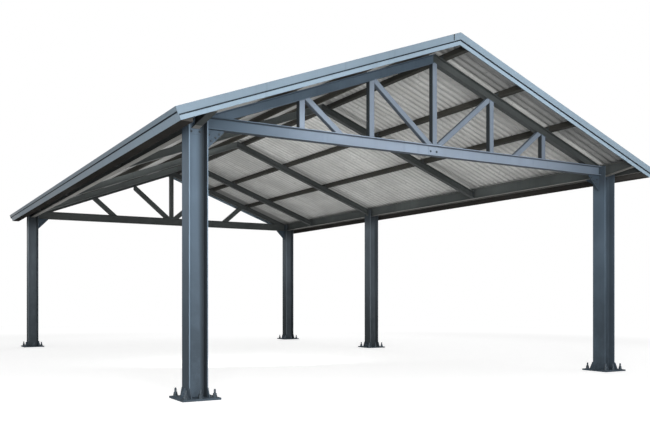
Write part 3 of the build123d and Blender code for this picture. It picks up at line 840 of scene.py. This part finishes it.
class CARPORT_OT_barges(Operator):
    """Fold the stepped barge boards, mitred to the gutters and jointed near the peak"""
    bl_idname = "carport.barges"
    bl_label = "Fold barge boards"

    def execute(self, context):
        trim = settings().trim
        for end_name, end in ENDS:
            for side_name, side in SIDES:
                bm = bmesh.new()
                chain = [slope_point(side, -BARGE_COVER, lift, end * (BARGE_Y + depth))
                         for depth, lift in barge_folds(trim, trim.thick / 2)]
                tint_strips(folded(bm, chain, slope_down(side) * (BARGE_RUN + 2 * BARGE_COVER)), 2)
                cut(bm, Vector((0, 0, RIDGE_Z)), Vector((-side, 0, 0)))
                cut(bm, *mitre(side, end))
                if side < 0:
                    self.open_joint(bm, trim, side)
                thicken(bm, trim.thick)
                piece(f"{end_name}_{side_name}_barge_board", bm, STRIP_FINISHES,
                      (f"{end_name}_{side_name}_barge",))
            self.backing(end_name, end, trim)
        return {"FINISHED"}

    def open_joint(self, bm, trim, side):
        """Takes a narrow slit out of the upper strip and its cover beside the peak."""
        near, far = trim.joint_x, trim.joint_x + trim.joint_gap
        for edge_x in (near, far):
            cut(bm, Vector((side * edge_x, 0, 0)), Vector((side, 0, 0)), clear=False)
        fold = BARGE_TOP - trim.upper
        slit = []
        for face in bm.faces:
            centre = face.calc_center_median()
            lift = (centre.z - RIDGE_Z + abs(centre.x) * RISE) * LEAN
            if near < abs(centre.x) < far and lift > fold + trim.slot:
                slit.append(face)
        bmesh.ops.delete(bm, geom=slit, context="FACES")

    def backing(self, end_name, end, trim):
        """Dark strip behind the open joint, a painted shadow seen through it."""
        bm = bmesh.new()
        run = (trim.joint_x + trim.joint_gap / 2) / LEAN
        y = end * (BARGE_Y + BACKING_SETBACK * trim.thick)
        place = slope_stand(-1, run, BARGE_TOP - trim.upper / 2, y)
        slab(bm, place, (trim.upper, trim.thick, trim.upper * BACKING_SHARE))
        piece(f"{end_name}_joint_backing", bm, ("purlin_primer",))


# Gutter parts: height of a stop end as a share of the lower strip, straps in metres
STOP_END_SHARE = 0.6
STRAP_WIDTH, STRAP_THICK = 0.025, 0.002


class CARPORT_OT_gutters(Operator):
    """Fold the stepped gutters with stop ends and straps"""
    bl_idname = "carport.gutters"
    bl_label = "Fold gutters"

    def execute(self, context):
        trim = settings().trim
        half = trim.thick / 2
        top, bead = BARGE_TOP - half, trim.bead
        lip = [(bead, BARGE_TOP - bead / 2), (bead, top), (half, top)]
        for side_name, side in SIDES:
            bm = bmesh.new()
            chain = [slope_point(side, BARGE_RUN - aside, lift, BARGE_Y)
                     for aside, lift in [*lip, *strip_folds(trim, trim.gutter_upper, half)]]
            tint_strips(folded(bm, chain, Vector((0, -2 * BARGE_Y, 0))), 3)
            for _, end in ENDS:
                corner, normal = mitre(side, end)
                cut(bm, corner, -normal)
            thicken(bm, trim.thick)
            piece(f"{side_name}_gutter_face", bm, STRIP_FINISHES, (f"{side_name}_gutter",))
            self.trough(side_name, side, trim)
            self.straps(side_name, side, trim)
        return {"FINISHED"}

    def trough(self, side_name, side, trim):
        """Floor, back and stop ends of a gutter."""
        bm = bmesh.new()
        end_y = -BARGE_Y - trim.step - 4 * trim.hem
        low = BARGE_TOP - trim.upper - trim.lower
        corner = slope_point(side, BARGE_RUN - trim.step - 2 * trim.thick, low, -end_y)
        back = side * (GUTTER_BACK + trim.thick / 2)
        top = RIDGE_Z + SHEET_LOW / LEAN - (GUTTER_BACK + trim.thick) * RISE - trim.thick
        chain = [corner, Vector((back, -end_y, corner.z)), Vector((back, -end_y, top))]
        folded(bm, chain, Vector((0, 2 * end_y, 0)))
        thicken(bm, trim.thick)
        height = STOP_END_SHARE * trim.lower
        for _, end in ENDS:
            middle = ((corner.x + back) / 2, end * (end_y - trim.thick), corner.z + height / 2)
            slab(bm, Matrix.Translation(middle), (abs(corner.x - back), trim.thick, height))
        # The trough takes the dark paint of painted shade
        piece(f"{side_name}_gutter_trough", bm, ("sole_paint",))

    def straps(self, side_name, side, trim):
        """Flat straps across the open top of a gutter."""
        bm = bmesh.new()
        count = int(-2 * BARGE_Y / trim.strap_gap)
        front = slope_point(side, BARGE_RUN - trim.bead, BARGE_TOP - trim.bead / 2)
        back = Vector((side * (GUTTER_BACK + trim.thick), 0, front.z - trim.bead))
        reach = front - back
        for index in range(count):
            y = (index + 0.5 - count / 2) * trim.strap_gap
            middle = (front + back) / 2 + Vector((0, y, 0))
            slab(bm, stand(middle, reach), (STRAP_WIDTH, STRAP_THICK, reach.length))
        piece(f"{side_name}_gutter_straps", bm, ("bolt_steel",))


class CARPORT_OT_eave_beams(Operator):
    """Lay the eave beams, with stubs that taper out to the barge boards"""
    bl_idname = "carport.eave_beams"
    bl_label = "Lay eave beams"

    def execute(self, context):
        eave = settings().eave
        front, rear = FRONT_Y + POST_WEB_HALF, REAR_Y - POST_WEB_HALF
        runs = (
            ("left", -1, front, rear, (1, -1)),
            ("right_front", 1, front, EAVE_MEETING[0], (1,)),
            ("right_rear", 1, EAVE_MEETING[1], rear, (-1,)),
        )
        for name, side, start, stop, ends in runs:
            bm = bmesh.new()
            x = side * POST_X
            self.beam(bm, x, start, stop, eave)
            for end in ends:
                self.beam(bm, x, end * (FRONT_Y - POST_WEB_HALF), -end * EAVE_END, eave, eave.rise)
            piece(f"{name}_eave_run", bm, ("eave_paint",), (f"{name}_eave_beam",))
        return {"FINISHED"}

    def beam(self, bm, x, start, stop, eave, rise=0.0):
        """I section between two places along the carport, its lower flange risen at the far end."""
        half, web = EAVE_HALF, eave.web / 2
        low, high = EAVE_LOW + eave.flange, EAVE_HIGH - eave.flange
        right = [(half, EAVE_LOW), (half, low), (web, low), (web, high), (half, high), (half, EAVE_HIGH)]
        outline = [*right, *((-across, z) for across, z in reversed(right))]
        far = prism(bm, [(x + across, start, z) for across, z in outline], Vector((0, stop - start, 0)))
        lower = [vert for vert in far if vert.co.z < low + eave.flange]
        bmesh.ops.translate(bm, verts=lower, vec=(0, 0, rise))
        roots = {edge for vert in far if abs(vert.co.x - x) < eave.web for edge in vert.link_edges
                 if abs(edge.verts[0].co.y - edge.verts[1].co.y) > half}
        bmesh.ops.bevel(bm, geom=list(roots), offset=eave.root, offset_type="OFFSET", affect="EDGES",
                        segments=3, profile=0.5, material=-1)


class CARPORT_OT_knees(Operator):
    """Cut the knee plates between the posts and the beams"""
    bl_idname = "carport.knees"
    bl_label = "Cut knee plates"

    def execute(self, context):
        sizes = settings().fasteners
        bm = bmesh.new()
        for _, side in SIDES:
            for end_name, end in ENDS:
                corner = Vector((side * INNER_X, end * FRONT_Y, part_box(f"{end_name}_tie_beam")[0].z))
                self.plate(bm, corner, Vector((-side, 0, 0)), sizes.knee_across, sizes.knee_down, sizes)
            corner = Vector((side * POST_X, FRONT_Y + POST_WEB_HALF, EAVE_LOW))
            self.plate(bm, corner, Vector((0, 1, 0)), sizes.side_knee_along, sizes.side_knee_down, sizes)
        piece("knees", bm, ("knee_paint",), ("knee_plates",))
        return {"FINISHED"}

    def plate(self, bm, corner, inward, reach, drop, sizes):
        """Five-sided plate from a corner along a beam and down a post."""
        nose, thick = sizes.knee_nose, inward.cross(UP) * sizes.knee_thick
        outline = [(0, 0), (reach, 0), (reach, nose), (nose, drop), (0, drop)]
        prism(bm, [corner + inward * out - UP * down - thick / 2 for out, down in outline], thick)


# Tip of an anchor stud: number of sides, and its end as a share of the stud's radius
TIP_SIDES = 12
TIP_CHAMFER = 0.55


class CARPORT_OT_anchors(Operator):
    """Set the anchor studs with washers and nuts on the base plates"""
    bl_idname = "carport.anchors"
    bl_label = "Set anchor bolts"

    def execute(self, context):
        sizes = settings().fasteners
        radius, reach, tip = sizes.anchor, sizes.bolt_reach, sizes.anchor_height
        nuts_top = ANCHOR_NUTS[-1][1] * radius
        for post in POSTS:
            low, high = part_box(f"{post}_base")
            middle = (low + high) / 2
            bm = bmesh.new()
            for across in (-reach, 0, reach):
                for along in (-reach, reach):
                    place = Matrix.Translation((middle.x + across, middle.y + along, BASE_TOP))
                    fastener(bm, place, radius, ANCHOR_NUTS)
                    barrel(bm, place, nuts_top, tip - radius, radius, radius, TIP_SIDES)
                    barrel(bm, place, tip - radius, tip, radius, radius * TIP_CHAMFER, TIP_SIDES)
            piece(f"{post}_anchor_bolts", bm, ("bolt_steel",))
        return {"FINISHED"}


# Bolts and end plates of the frame, in metres; knee bolts are given in from the corner and down from it
KNEE_BOLTS = ((0.072, 0.112), (0.118, 0.074), (0.158, 0.038), (0.046, 0.055))
TIE_PLATE_WIDTH = 0.144
TIE_BOLTS = four(0.055, 0.035)
STUB_PLATE_WIDTH, STUB_PLATE_DROP, STUB_PLATE_GAP = 0.13, 0.055, 0.02
STUB_BOLT_ACROSS, STUB_BOLT_DROP = 0.045, 0.028
RAFTER_BOLTS = four(0.025, 0.02)
# Light bolts as a share of a frame bolt, and the drop of a rafter's bolts in rafter widths
LIGHT_BOLT_SHARE = 0.8
RAFTER_BOLT_DROP = 0.65


class CARPORT_OT_frame_bolts(Operator):
    """Bolt the knee plates, tie beams, eave beams and rafters"""
    bl_idname = "carport.frame_bolts"
    bl_label = "Bolt the frame"

    def execute(self, context):
        sizes = settings().fasteners
        knees, plates, bolts = bmesh.new(), bmesh.new(), bmesh.new()
        for end_name, end in ENDS:
            y = end * FRONT_Y
            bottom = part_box(f"{end_name}_tie_beam")[0].z
            for _, side in SIDES:
                self.knee(knees, side, end, bottom, sizes)
                self.tie_end(plates, bolts, side, y, bottom, sizes)
                self.stub_end(plates, bolts, side, end, sizes)
        for _, side in SIDES:
            for rafter_y in RAFTER_YS:
                self.rafter_end(bolts, side, rafter_y, sizes)
        piece("knee_bolts", knees, ("bolt_steel",))
        # Plates on the left take the lit copy of the frame paint, those on the right the shaded copy: painted
        # light and shade
        for face in plates.faces:
            face.material_index = int(face.calc_center_median().x > 0)
        piece("end_plates", plates, ("left_post_paint", "right_post_paint"))
        piece("frame_bolts", bolts, ("bolt_steel",))
        return {"FINISHED"}

    def knee(self, bolts, side, end, bottom, sizes):
        """Bolts through a knee plate, heads outside and nuts inside."""
        for across, down in KNEE_BOLTS:
            at = Vector((side * (INNER_X - across), end * FRONT_Y, bottom - down))
            for facing in (-1, 1):
                place = stand(at + Vector((0, facing * sizes.knee_thick / 2, 0)), (0, facing, 0))
                fastener(bolts, place, sizes.bolt, BOLT_HEAD if facing == -end else NUT_AND_TIP)

    def tie_end(self, plates, bolts, side, y, bottom, sizes):
        """End plate of a tie beam against the post flange."""
        middle = (TIE_TOP + bottom) / 2
        place = Matrix.Translation((side * (INNER_X - sizes.plate / 2), y, middle))
        slab(plates, place, (sizes.plate, TIE_PLATE_WIDTH, TIE_TOP - bottom))
        for across, lift in TIE_BOLTS:
            at = Vector((side * (INNER_X - sizes.plate), y + across, middle + lift))
            fastener(bolts, stand(at, (-side, 0, 0)), sizes.bolt * LIGHT_BOLT_SHARE)

    def stub_end(self, plates, bolts, side, end, sizes):
        """End plate of an eave stub on the outer face of the post web."""
        low, high = EAVE_LOW - STUB_PLATE_DROP, TIE_TOP - STUB_PLATE_GAP
        y = end * (FRONT_Y - POST_WEB_HALF)
        place = Matrix.Translation((side * POST_X, y - end * sizes.plate / 2, (low + high) / 2))
        slab(plates, place, (STUB_PLATE_WIDTH, sizes.plate, high - low))
        for across in (-STUB_BOLT_ACROSS, STUB_BOLT_ACROSS):
            at = Vector((side * POST_X + across, y - end * sizes.plate, EAVE_LOW - STUB_BOLT_DROP))
            fastener(bolts, stand(at, (0, -end, 0)), sizes.bolt)

    def rafter_end(self, bolts, side, y, sizes):
        """Bolts of a rafter's end plate."""
        at_post = y == RAFTER_YS[1] and side > 0
        face = (INNER_X if at_post else RAFTER_END_X) - RAFTER_PLATE
        middle = RIDGE_Z - face * RISE - RAFTER_WIDTH * RAFTER_BOLT_DROP
        for across, lift in RAFTER_BOLTS:
            at = Vector((side * face, y + across, middle + lift))
            fastener(bolts, stand(at, (-side, 0, 0)), sizes.small_bolt)


# Sizes at a king post's foot, in metres, with the cleats' set-back as a share of half the tie beam
KING_CLEAT_LEG, KING_CLEAT_WIDTH = 0.055, 0.036
KING_CLEAT_SETBACK = 0.62
KING_PLATE_WIDTH, KING_PLATE_HEIGHT = 0.15, 0.085
KING_BOLT_ACROSS, KING_BOLT_DROP = 0.045, 0.01


class CARPORT_OT_king_plates(Operator):
    """Fit the cleats and plates at the feet of the king posts"""
    bl_idname = "carport.king_plates"
    bl_label = "Fit king post plates"

    def execute(self, context):
        sizes = settings().fasteners
        plates, bolts = bmesh.new(), bmesh.new()
        thick, leg = sizes.plate, KING_CLEAT_LEG
        for end_name, end in ENDS:
            y = end * FRONT_Y
            king_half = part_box(f"{end_name}_king_post")[1].x
            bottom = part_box(f"{end_name}_tie_beam")[0].z
            cleat_y = y - end * TIE_HALF * KING_CLEAT_SETBACK
            for side in (-1, 1):
                base = Vector((side * (king_half + leg / 2), cleat_y, TIE_TOP))
                slab(plates, Matrix.Translation(base), (leg, KING_CLEAT_WIDTH, thick), (0, 0, thick / 2))
                fastener(bolts, stand(base + Vector((0, 0, thick))), sizes.bolt * LIGHT_BOLT_SHARE)
            middle = Vector((0, y - end * TIE_WEB_HALF, (TIE_TOP + bottom) / 2))
            size = (KING_PLATE_WIDTH, thick, KING_PLATE_HEIGHT)
            slab(plates, Matrix.Translation(middle), size, (0, -end * thick / 2, 0))
            for across in (-KING_BOLT_ACROSS, KING_BOLT_ACROSS):
                at = middle + Vector((across, -end * thick, -KING_BOLT_DROP))
                fastener(bolts, stand(at, (0, -end, 0)), sizes.bolt)
        piece("king_plates", plates, ("truss_paint",))
        piece("king_bolts", bolts, ("bolt_steel",))
        return {"FINISHED"}


# Angle cleat of a purlin, in metres: flat leg, upright leg, width, thickness, and a bolt's place on each leg
CLEAT_LEG, CLEAT_UPRIGHT, CLEAT_WIDTH, CLEAT_THICK = 0.05, 0.06, 0.05, 0.005
CLEAT_BOLT_BACK, CLEAT_BOLT_UP = 0.03, 0.0375


class CARPORT_OT_cleats(Operator):
    """Fix the purlins to chords and rafters with angle cleats"""
    bl_idname = "carport.cleats"
    bl_label = "Fix purlin cleats"

    def execute(self, context):
        radius = settings().fasteners.small_bolt
        cleats, bolts = bmesh.new(), bmesh.new()
        leg, upright, width, thick = CLEAT_LEG, CLEAT_UPRIGHT, CLEAT_WIDTH, CLEAT_THICK
        flat_bolt = Matrix.Translation((-CLEAT_BOLT_BACK, 0, thick))
        side_bolt = Matrix.Translation((-thick, 0, CLEAT_BOLT_UP)) @ Matrix.Rotation(-math.pi / 2, 4, "Y")
        for _, side in SIDES:
            for y in FRAME_YS:
                for share in PURLIN_SHARES:
                    run = SHEET_RUN * share - PURLIN_HALF
                    if run < leg:
                        continue
                    place = slope_stand(side, run, 0, y)
                    slab(cleats, place, (leg, width, thick), (-leg / 2, 0, thick / 2))
                    slab(cleats, place, (thick, width, upright), (-thick / 2, 0, upright / 2))
                    fastener(bolts, place @ flat_bolt, radius)
                    fastener(bolts, place @ side_bolt, radius)
        piece("purlin_cleats", cleats, ("sheltered_paint",))
        piece("purlin_bolts", bolts, ("bolt_steel",))
        return {"FINISHED"}


# Screws of the ridge caps: how far down the cap as a share, and the lift over the crests in metres
CAP_SCREW_SHARE = 0.72
CAP_SCREW_LIFT = 0.003


class CARPORT_OT_screws(Operator):
    """Screw the sheeting and the ridge caps down on the crests"""
    bl_idname = "carport.screws"
    bl_label = "Drive roof screws"

    def execute(self, context):
        roof, radius = settings().roof, settings().fasteners.screw
        cap_run, cap_lift = CAP_X / LEAN * CAP_SCREW_SHARE, SHEET_HIGH + CAP_SCREW_LIFT
        bm = bmesh.new()
        for _, side in SIDES:
            for wave in range(1, wave_count(), roof.screw_waves):
                y = crest_y(wave)
                for share in PURLIN_SHARES[1:]:
                    place = slope_stand(side, SHEET_RUN * share, SHEET_HIGH - roof.lap_rise, y)
                    fastener(bm, place, radius, ROOF_SCREW)
                if abs(y) < CAP_END:
                    fastener(bm, slope_stand(side, cap_run, cap_lift, y), radius, ROOF_SCREW)
        piece("roof_screws", bm, ("bolt_steel",))
        return {"FINISHED"}


# Shares of a weld's size: a tube's weld, and a ripple's length, overlap, thin end and swell
TUBE_WELD = 0.8
RIPPLE_LENGTH, RIPPLE_OVERLAP, RIPPLE_FOOT, RIPPLE_SWELL = 1.6, 0.3, 0.8, 0.14
# Turn in radians from one ripple's swell to the next, and the sides of a bead
RIPPLE_TURN, BEAD_SIDES = 2.4, 7


class CARPORT_OT_welds(Operator):
    """Run weld beads round post feet and truss tubes"""
    bl_idname = "carport.welds"
    bl_label = "Run weld beads"

    def execute(self, context):
        size = settings().fasteners.weld
        bm = bmesh.new()
        for post in POSTS:
            low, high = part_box(f"{post}_post")
            middle = (low + high) / 2
            for side in (-1, 1):
                x = middle.x + side * POST_HALF
                self.bead(bm, (x, low.y, BASE_TOP), (x, high.y, BASE_TOP), size)
                y = middle.y + side * POST_WEB_HALF
                self.bead(bm, (low.x + POST_FLANGE, y, BASE_TOP), (high.x - POST_FLANGE, y, BASE_TOP), size)
        front_half, rear_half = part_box("front_king_post")[1].x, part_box("rear_king_post")[1].x
        feet = [(x, 1, front_half) for x in (0, *WEB_POST_XS, *(-x for x in WEB_POST_XS))]
        for x, end, half in [*feet, (0, -1, rear_half)]:
            head = RIDGE_Z - abs(x) * RISE - CHORD_DEPTH / LEAN
            fall = half * RISE * (1 if x > 0 else -1)
            for face in (-1, 1):
                y = end * FRONT_Y + face * half
                self.bead(bm, (x - half, y, TIE_TOP), (x + half, y, TIE_TOP), size * TUBE_WELD)
                if x:
                    self.bead(bm, (x - half, y, head + fall), (x + half, y, head - fall), size * TUBE_WELD)
        piece("weld_beads", bm, ("post_paint",), crease=ROUND_CREASE)
        return {"FINISHED"}

    def bead(self, bm, start, stop, size):
        """Rippled bead between two points."""
        start, stop = Vector(start), Vector(stop)
        span = (stop - start).length
        place = stand(start, stop - start)
        rings = max(3, int(span / (size * RIPPLE_LENGTH)))
        for index in range(rings):
            low, high = span * index / rings, span * (index + 1) / rings + size * RIPPLE_OVERLAP
            radius = size * (1 + RIPPLE_SWELL * math.sin(index * RIPPLE_TURN))
            barrel(bm, place, low, high, radius * RIPPLE_FOOT, radius, BEAD_SIDES)


# Lamps: place, what it points at, and its side, in metres
LAMPS = {
    "key": ((-5.0, -12.0, 3.5), (-2.0, -4.7, 1.8), 4.0),
    "low": ((-3.0, -14.0, 0.8), (0.5, -3.0, 3.2), 3.0),
    "fill": ((11.0, -9.0, 5.0), (0.0, -2.0, 2.0), 8.0),
    "side": ((-9.5, -5.5, 3.6), (-3.2, -3.0, 2.9), 4.0),
    "bay": ((-1.0, -1.8, 0.9), (1.0, 5.0, 1.9), 2.0),
    "back": ((6.0, 13.0, 8.0), (0.0, 2.0, 2.0), 8.0),
}
# Floor: its drop under the feet, where its shadows run out, its greys and its own glow
FLOOR_DROP = 0.002
SHADOW_START, SHADOW_END = 7.0, 15.0
FLOOR_GREY, SEEN_GREY, BLACK = (0.62, 0.62, 0.62), (0.72, 0.72, 0.72), (0.0, 0.0, 0.0)
FLOOR_GLOW = 0.64
WHITE = (1, 1, 1, 1)


class CARPORT_OT_stage(Operator):
    """Set the floor, the lamps and the camera"""
    bl_idname = "carport.stage"
    bl_label = "Set the stage"

    def execute(self, context):
        stage = settings().stage
        scene = context.scene
        scene.view_settings.view_transform = "Standard"
        self.floor(scene, stage)
        self.world(scene, stage)
        for name, (place, target, size) in LAMPS.items():
            self.lamp(scene, f"{name}_lamp", place, target, size, getattr(stage, name))
        self.camera(scene, stage)
        return {"FINISHED"}

    def camera(self, scene, stage):
        """Camera with upright verticals, shifted to the image's frame."""
        lens = bpy.data.cameras.new("camera")
        lens.sensor_width = SENSOR_WIDTH
        lens.lens = stage.focal_pixels * SENSOR_WIDTH / IMAGE_WIDTH
        lens.shift_x = (IMAGE_WIDTH / 2 - stage.middle_u) / IMAGE_WIDTH
        lens.shift_y = (stage.middle_v - IMAGE_HEIGHT / 2) / IMAGE_WIDTH
        camera = bpy.data.objects.new("camera", lens)
        camera.location = stage.camera
        camera.rotation_euler = (math.pi / 2, 0, -stage.turn)
        scene.collection.objects.link(camera)
        scene.camera = camera

    def floor(self, scene, stage):
        """Pale floor that keeps the shadow and runs out to white."""
        bm = bmesh.new()
        bmesh.ops.create_grid(bm, x_segments=1, y_segments=1, size=stage.floor / 2)
        bmesh.ops.translate(bm, verts=bm.verts, vec=(0, 0, -FLOOR_DROP))
        mesh = bpy.data.meshes.new("floor")
        bm.to_mesh(mesh)
        bm.free()
        made = Nodes("floor_paint")
        path = made.tree.nodes.new("ShaderNodeLightPath")
        seen = made.most(path.outputs["Is Camera Ray"], path.outputs["Is Glossy Ray"])
        seen = made.most(seen, path.outputs["Is Transmission Ray"])
        away = made.tree.nodes.new("ShaderNodeVectorMath")
        away.operation = "LENGTH"
        made.link(made.coord, away.inputs[0])
        far = made.ramp(away.outputs["Value"], SHADOW_START, SHADOW_END)
        made.drive(made.mix(seen, FLOOR_GREY, made.mix(far, SEEN_GREY, BLACK)), "Base Color")
        made.drive(made.times(seen, made.ramp(far, 0.0, 1.0, FLOOR_GLOW, 1.0)), "Emission Strength")
        made.hold("Emission Color", WHITE)
        made.hold("Roughness", 0.9)
        made.hold("Specular IOR Level", 0.0)
        mesh.materials.append(made.material)
        floor = bpy.data.objects.new("floor", mesh)
        scene.collection.objects.link(floor)

    def world(self, scene, stage):
        """Even light all round, white where it is looked at."""
        world = bpy.data.worlds.new("studio")
        world.use_nodes = True
        tree = world.node_tree
        back = tree.nodes["Background"]
        path = tree.nodes.new("ShaderNodeLightPath")
        seen = path.outputs["Is Camera Ray"]
        for name in ("Is Glossy Ray", "Is Transmission Ray"):
            either = tree.nodes.new("ShaderNodeMath")
            either.operation = "MAXIMUM"
            tree.links.new(seen, either.inputs[0])
            tree.links.new(path.outputs[name], either.inputs[1])
            seen = either.outputs["Value"]
        level = tree.nodes.new("ShaderNodeMapRange")
        level.inputs["To Min"].default_value = stage.ambient
        level.inputs["To Max"].default_value = 1.0
        tree.links.new(seen, level.inputs["Value"])
        back.inputs["Color"].default_value = WHITE
        tree.links.new(level.outputs["Result"], back.inputs["Strength"])
        scene.world = world

    def lamp(self, scene, name, place, target, size, strength):
        """Large soft lamp aimed at a point."""
        data = bpy.data.lights.new(name, "AREA")
        data.size = size
        data.energy = strength
        lamp = bpy.data.objects.new(name, data)
        lamp.location = place
        lamp.visible_camera = False
        lamp.rotation_euler = (Vector(target) - Vector(place)).to_track_quat("-Z", "Y").to_euler()
        scene.collection.objects.link(lamp)


STEPS = (
    CARPORT_OT_finishes, CARPORT_OT_sheeting, CARPORT_OT_ridge, CARPORT_OT_barges, CARPORT_OT_gutters,
    CARPORT_OT_eave_beams, CARPORT_OT_knees, CARPORT_OT_anchors, CARPORT_OT_frame_bolts,
    CARPORT_OT_king_plates, CARPORT_OT_cleats, CARPORT_OT_screws, CARPORT_OT_welds, CARPORT_OT_stage,
)
GROUPS = (
    CarportRoof, CarportTrim, CarportEave, CarportFasteners, CarportFinish, CarportStage, CarportSettings,
)


class CARPORT_PT_panel(Panel):
    """Steps and settings of the carport"""
    bl_idname = "CARPORT_PT_panel"
    bl_label = "Steel Carport"
    bl_space_type = "VIEW_3D"
    bl_region_type = "UI"
    bl_category = "Carport"

    def draw(self, context):
        for step in STEPS:
            self.layout.operator(step.bl_idname)
        for group in ("roof", "trim", "eave", "fasteners", "finish", "stage"):
            box = self.layout.box()
            held = getattr(context.scene.carport, group)
            for name in held.__annotations__:
                box.prop(held, name)


CLASSES = (*GROUPS, *STEPS, CARPORT_PT_panel)


def register():
    """Makes the settings, the steps and the panel known."""
    for made in CLASSES:
        bpy.utils.register_class(made)
    bpy.types.Scene.carport = PointerProperty(type=CarportSettings)


def unregister():
    """Takes the settings, the steps and the panel away again."""
    del bpy.types.Scene.carport
    for made in reversed(CLASSES):
        bpy.utils.unregister_class(made)


def main():
    """Dresses the frame step by step."""
    register()
    for step in STEPS:
        group, name = step.bl_idname.split(".")
        getattr(getattr(bpy.ops, group), name)()


if __name__ == "__main__":
    main()
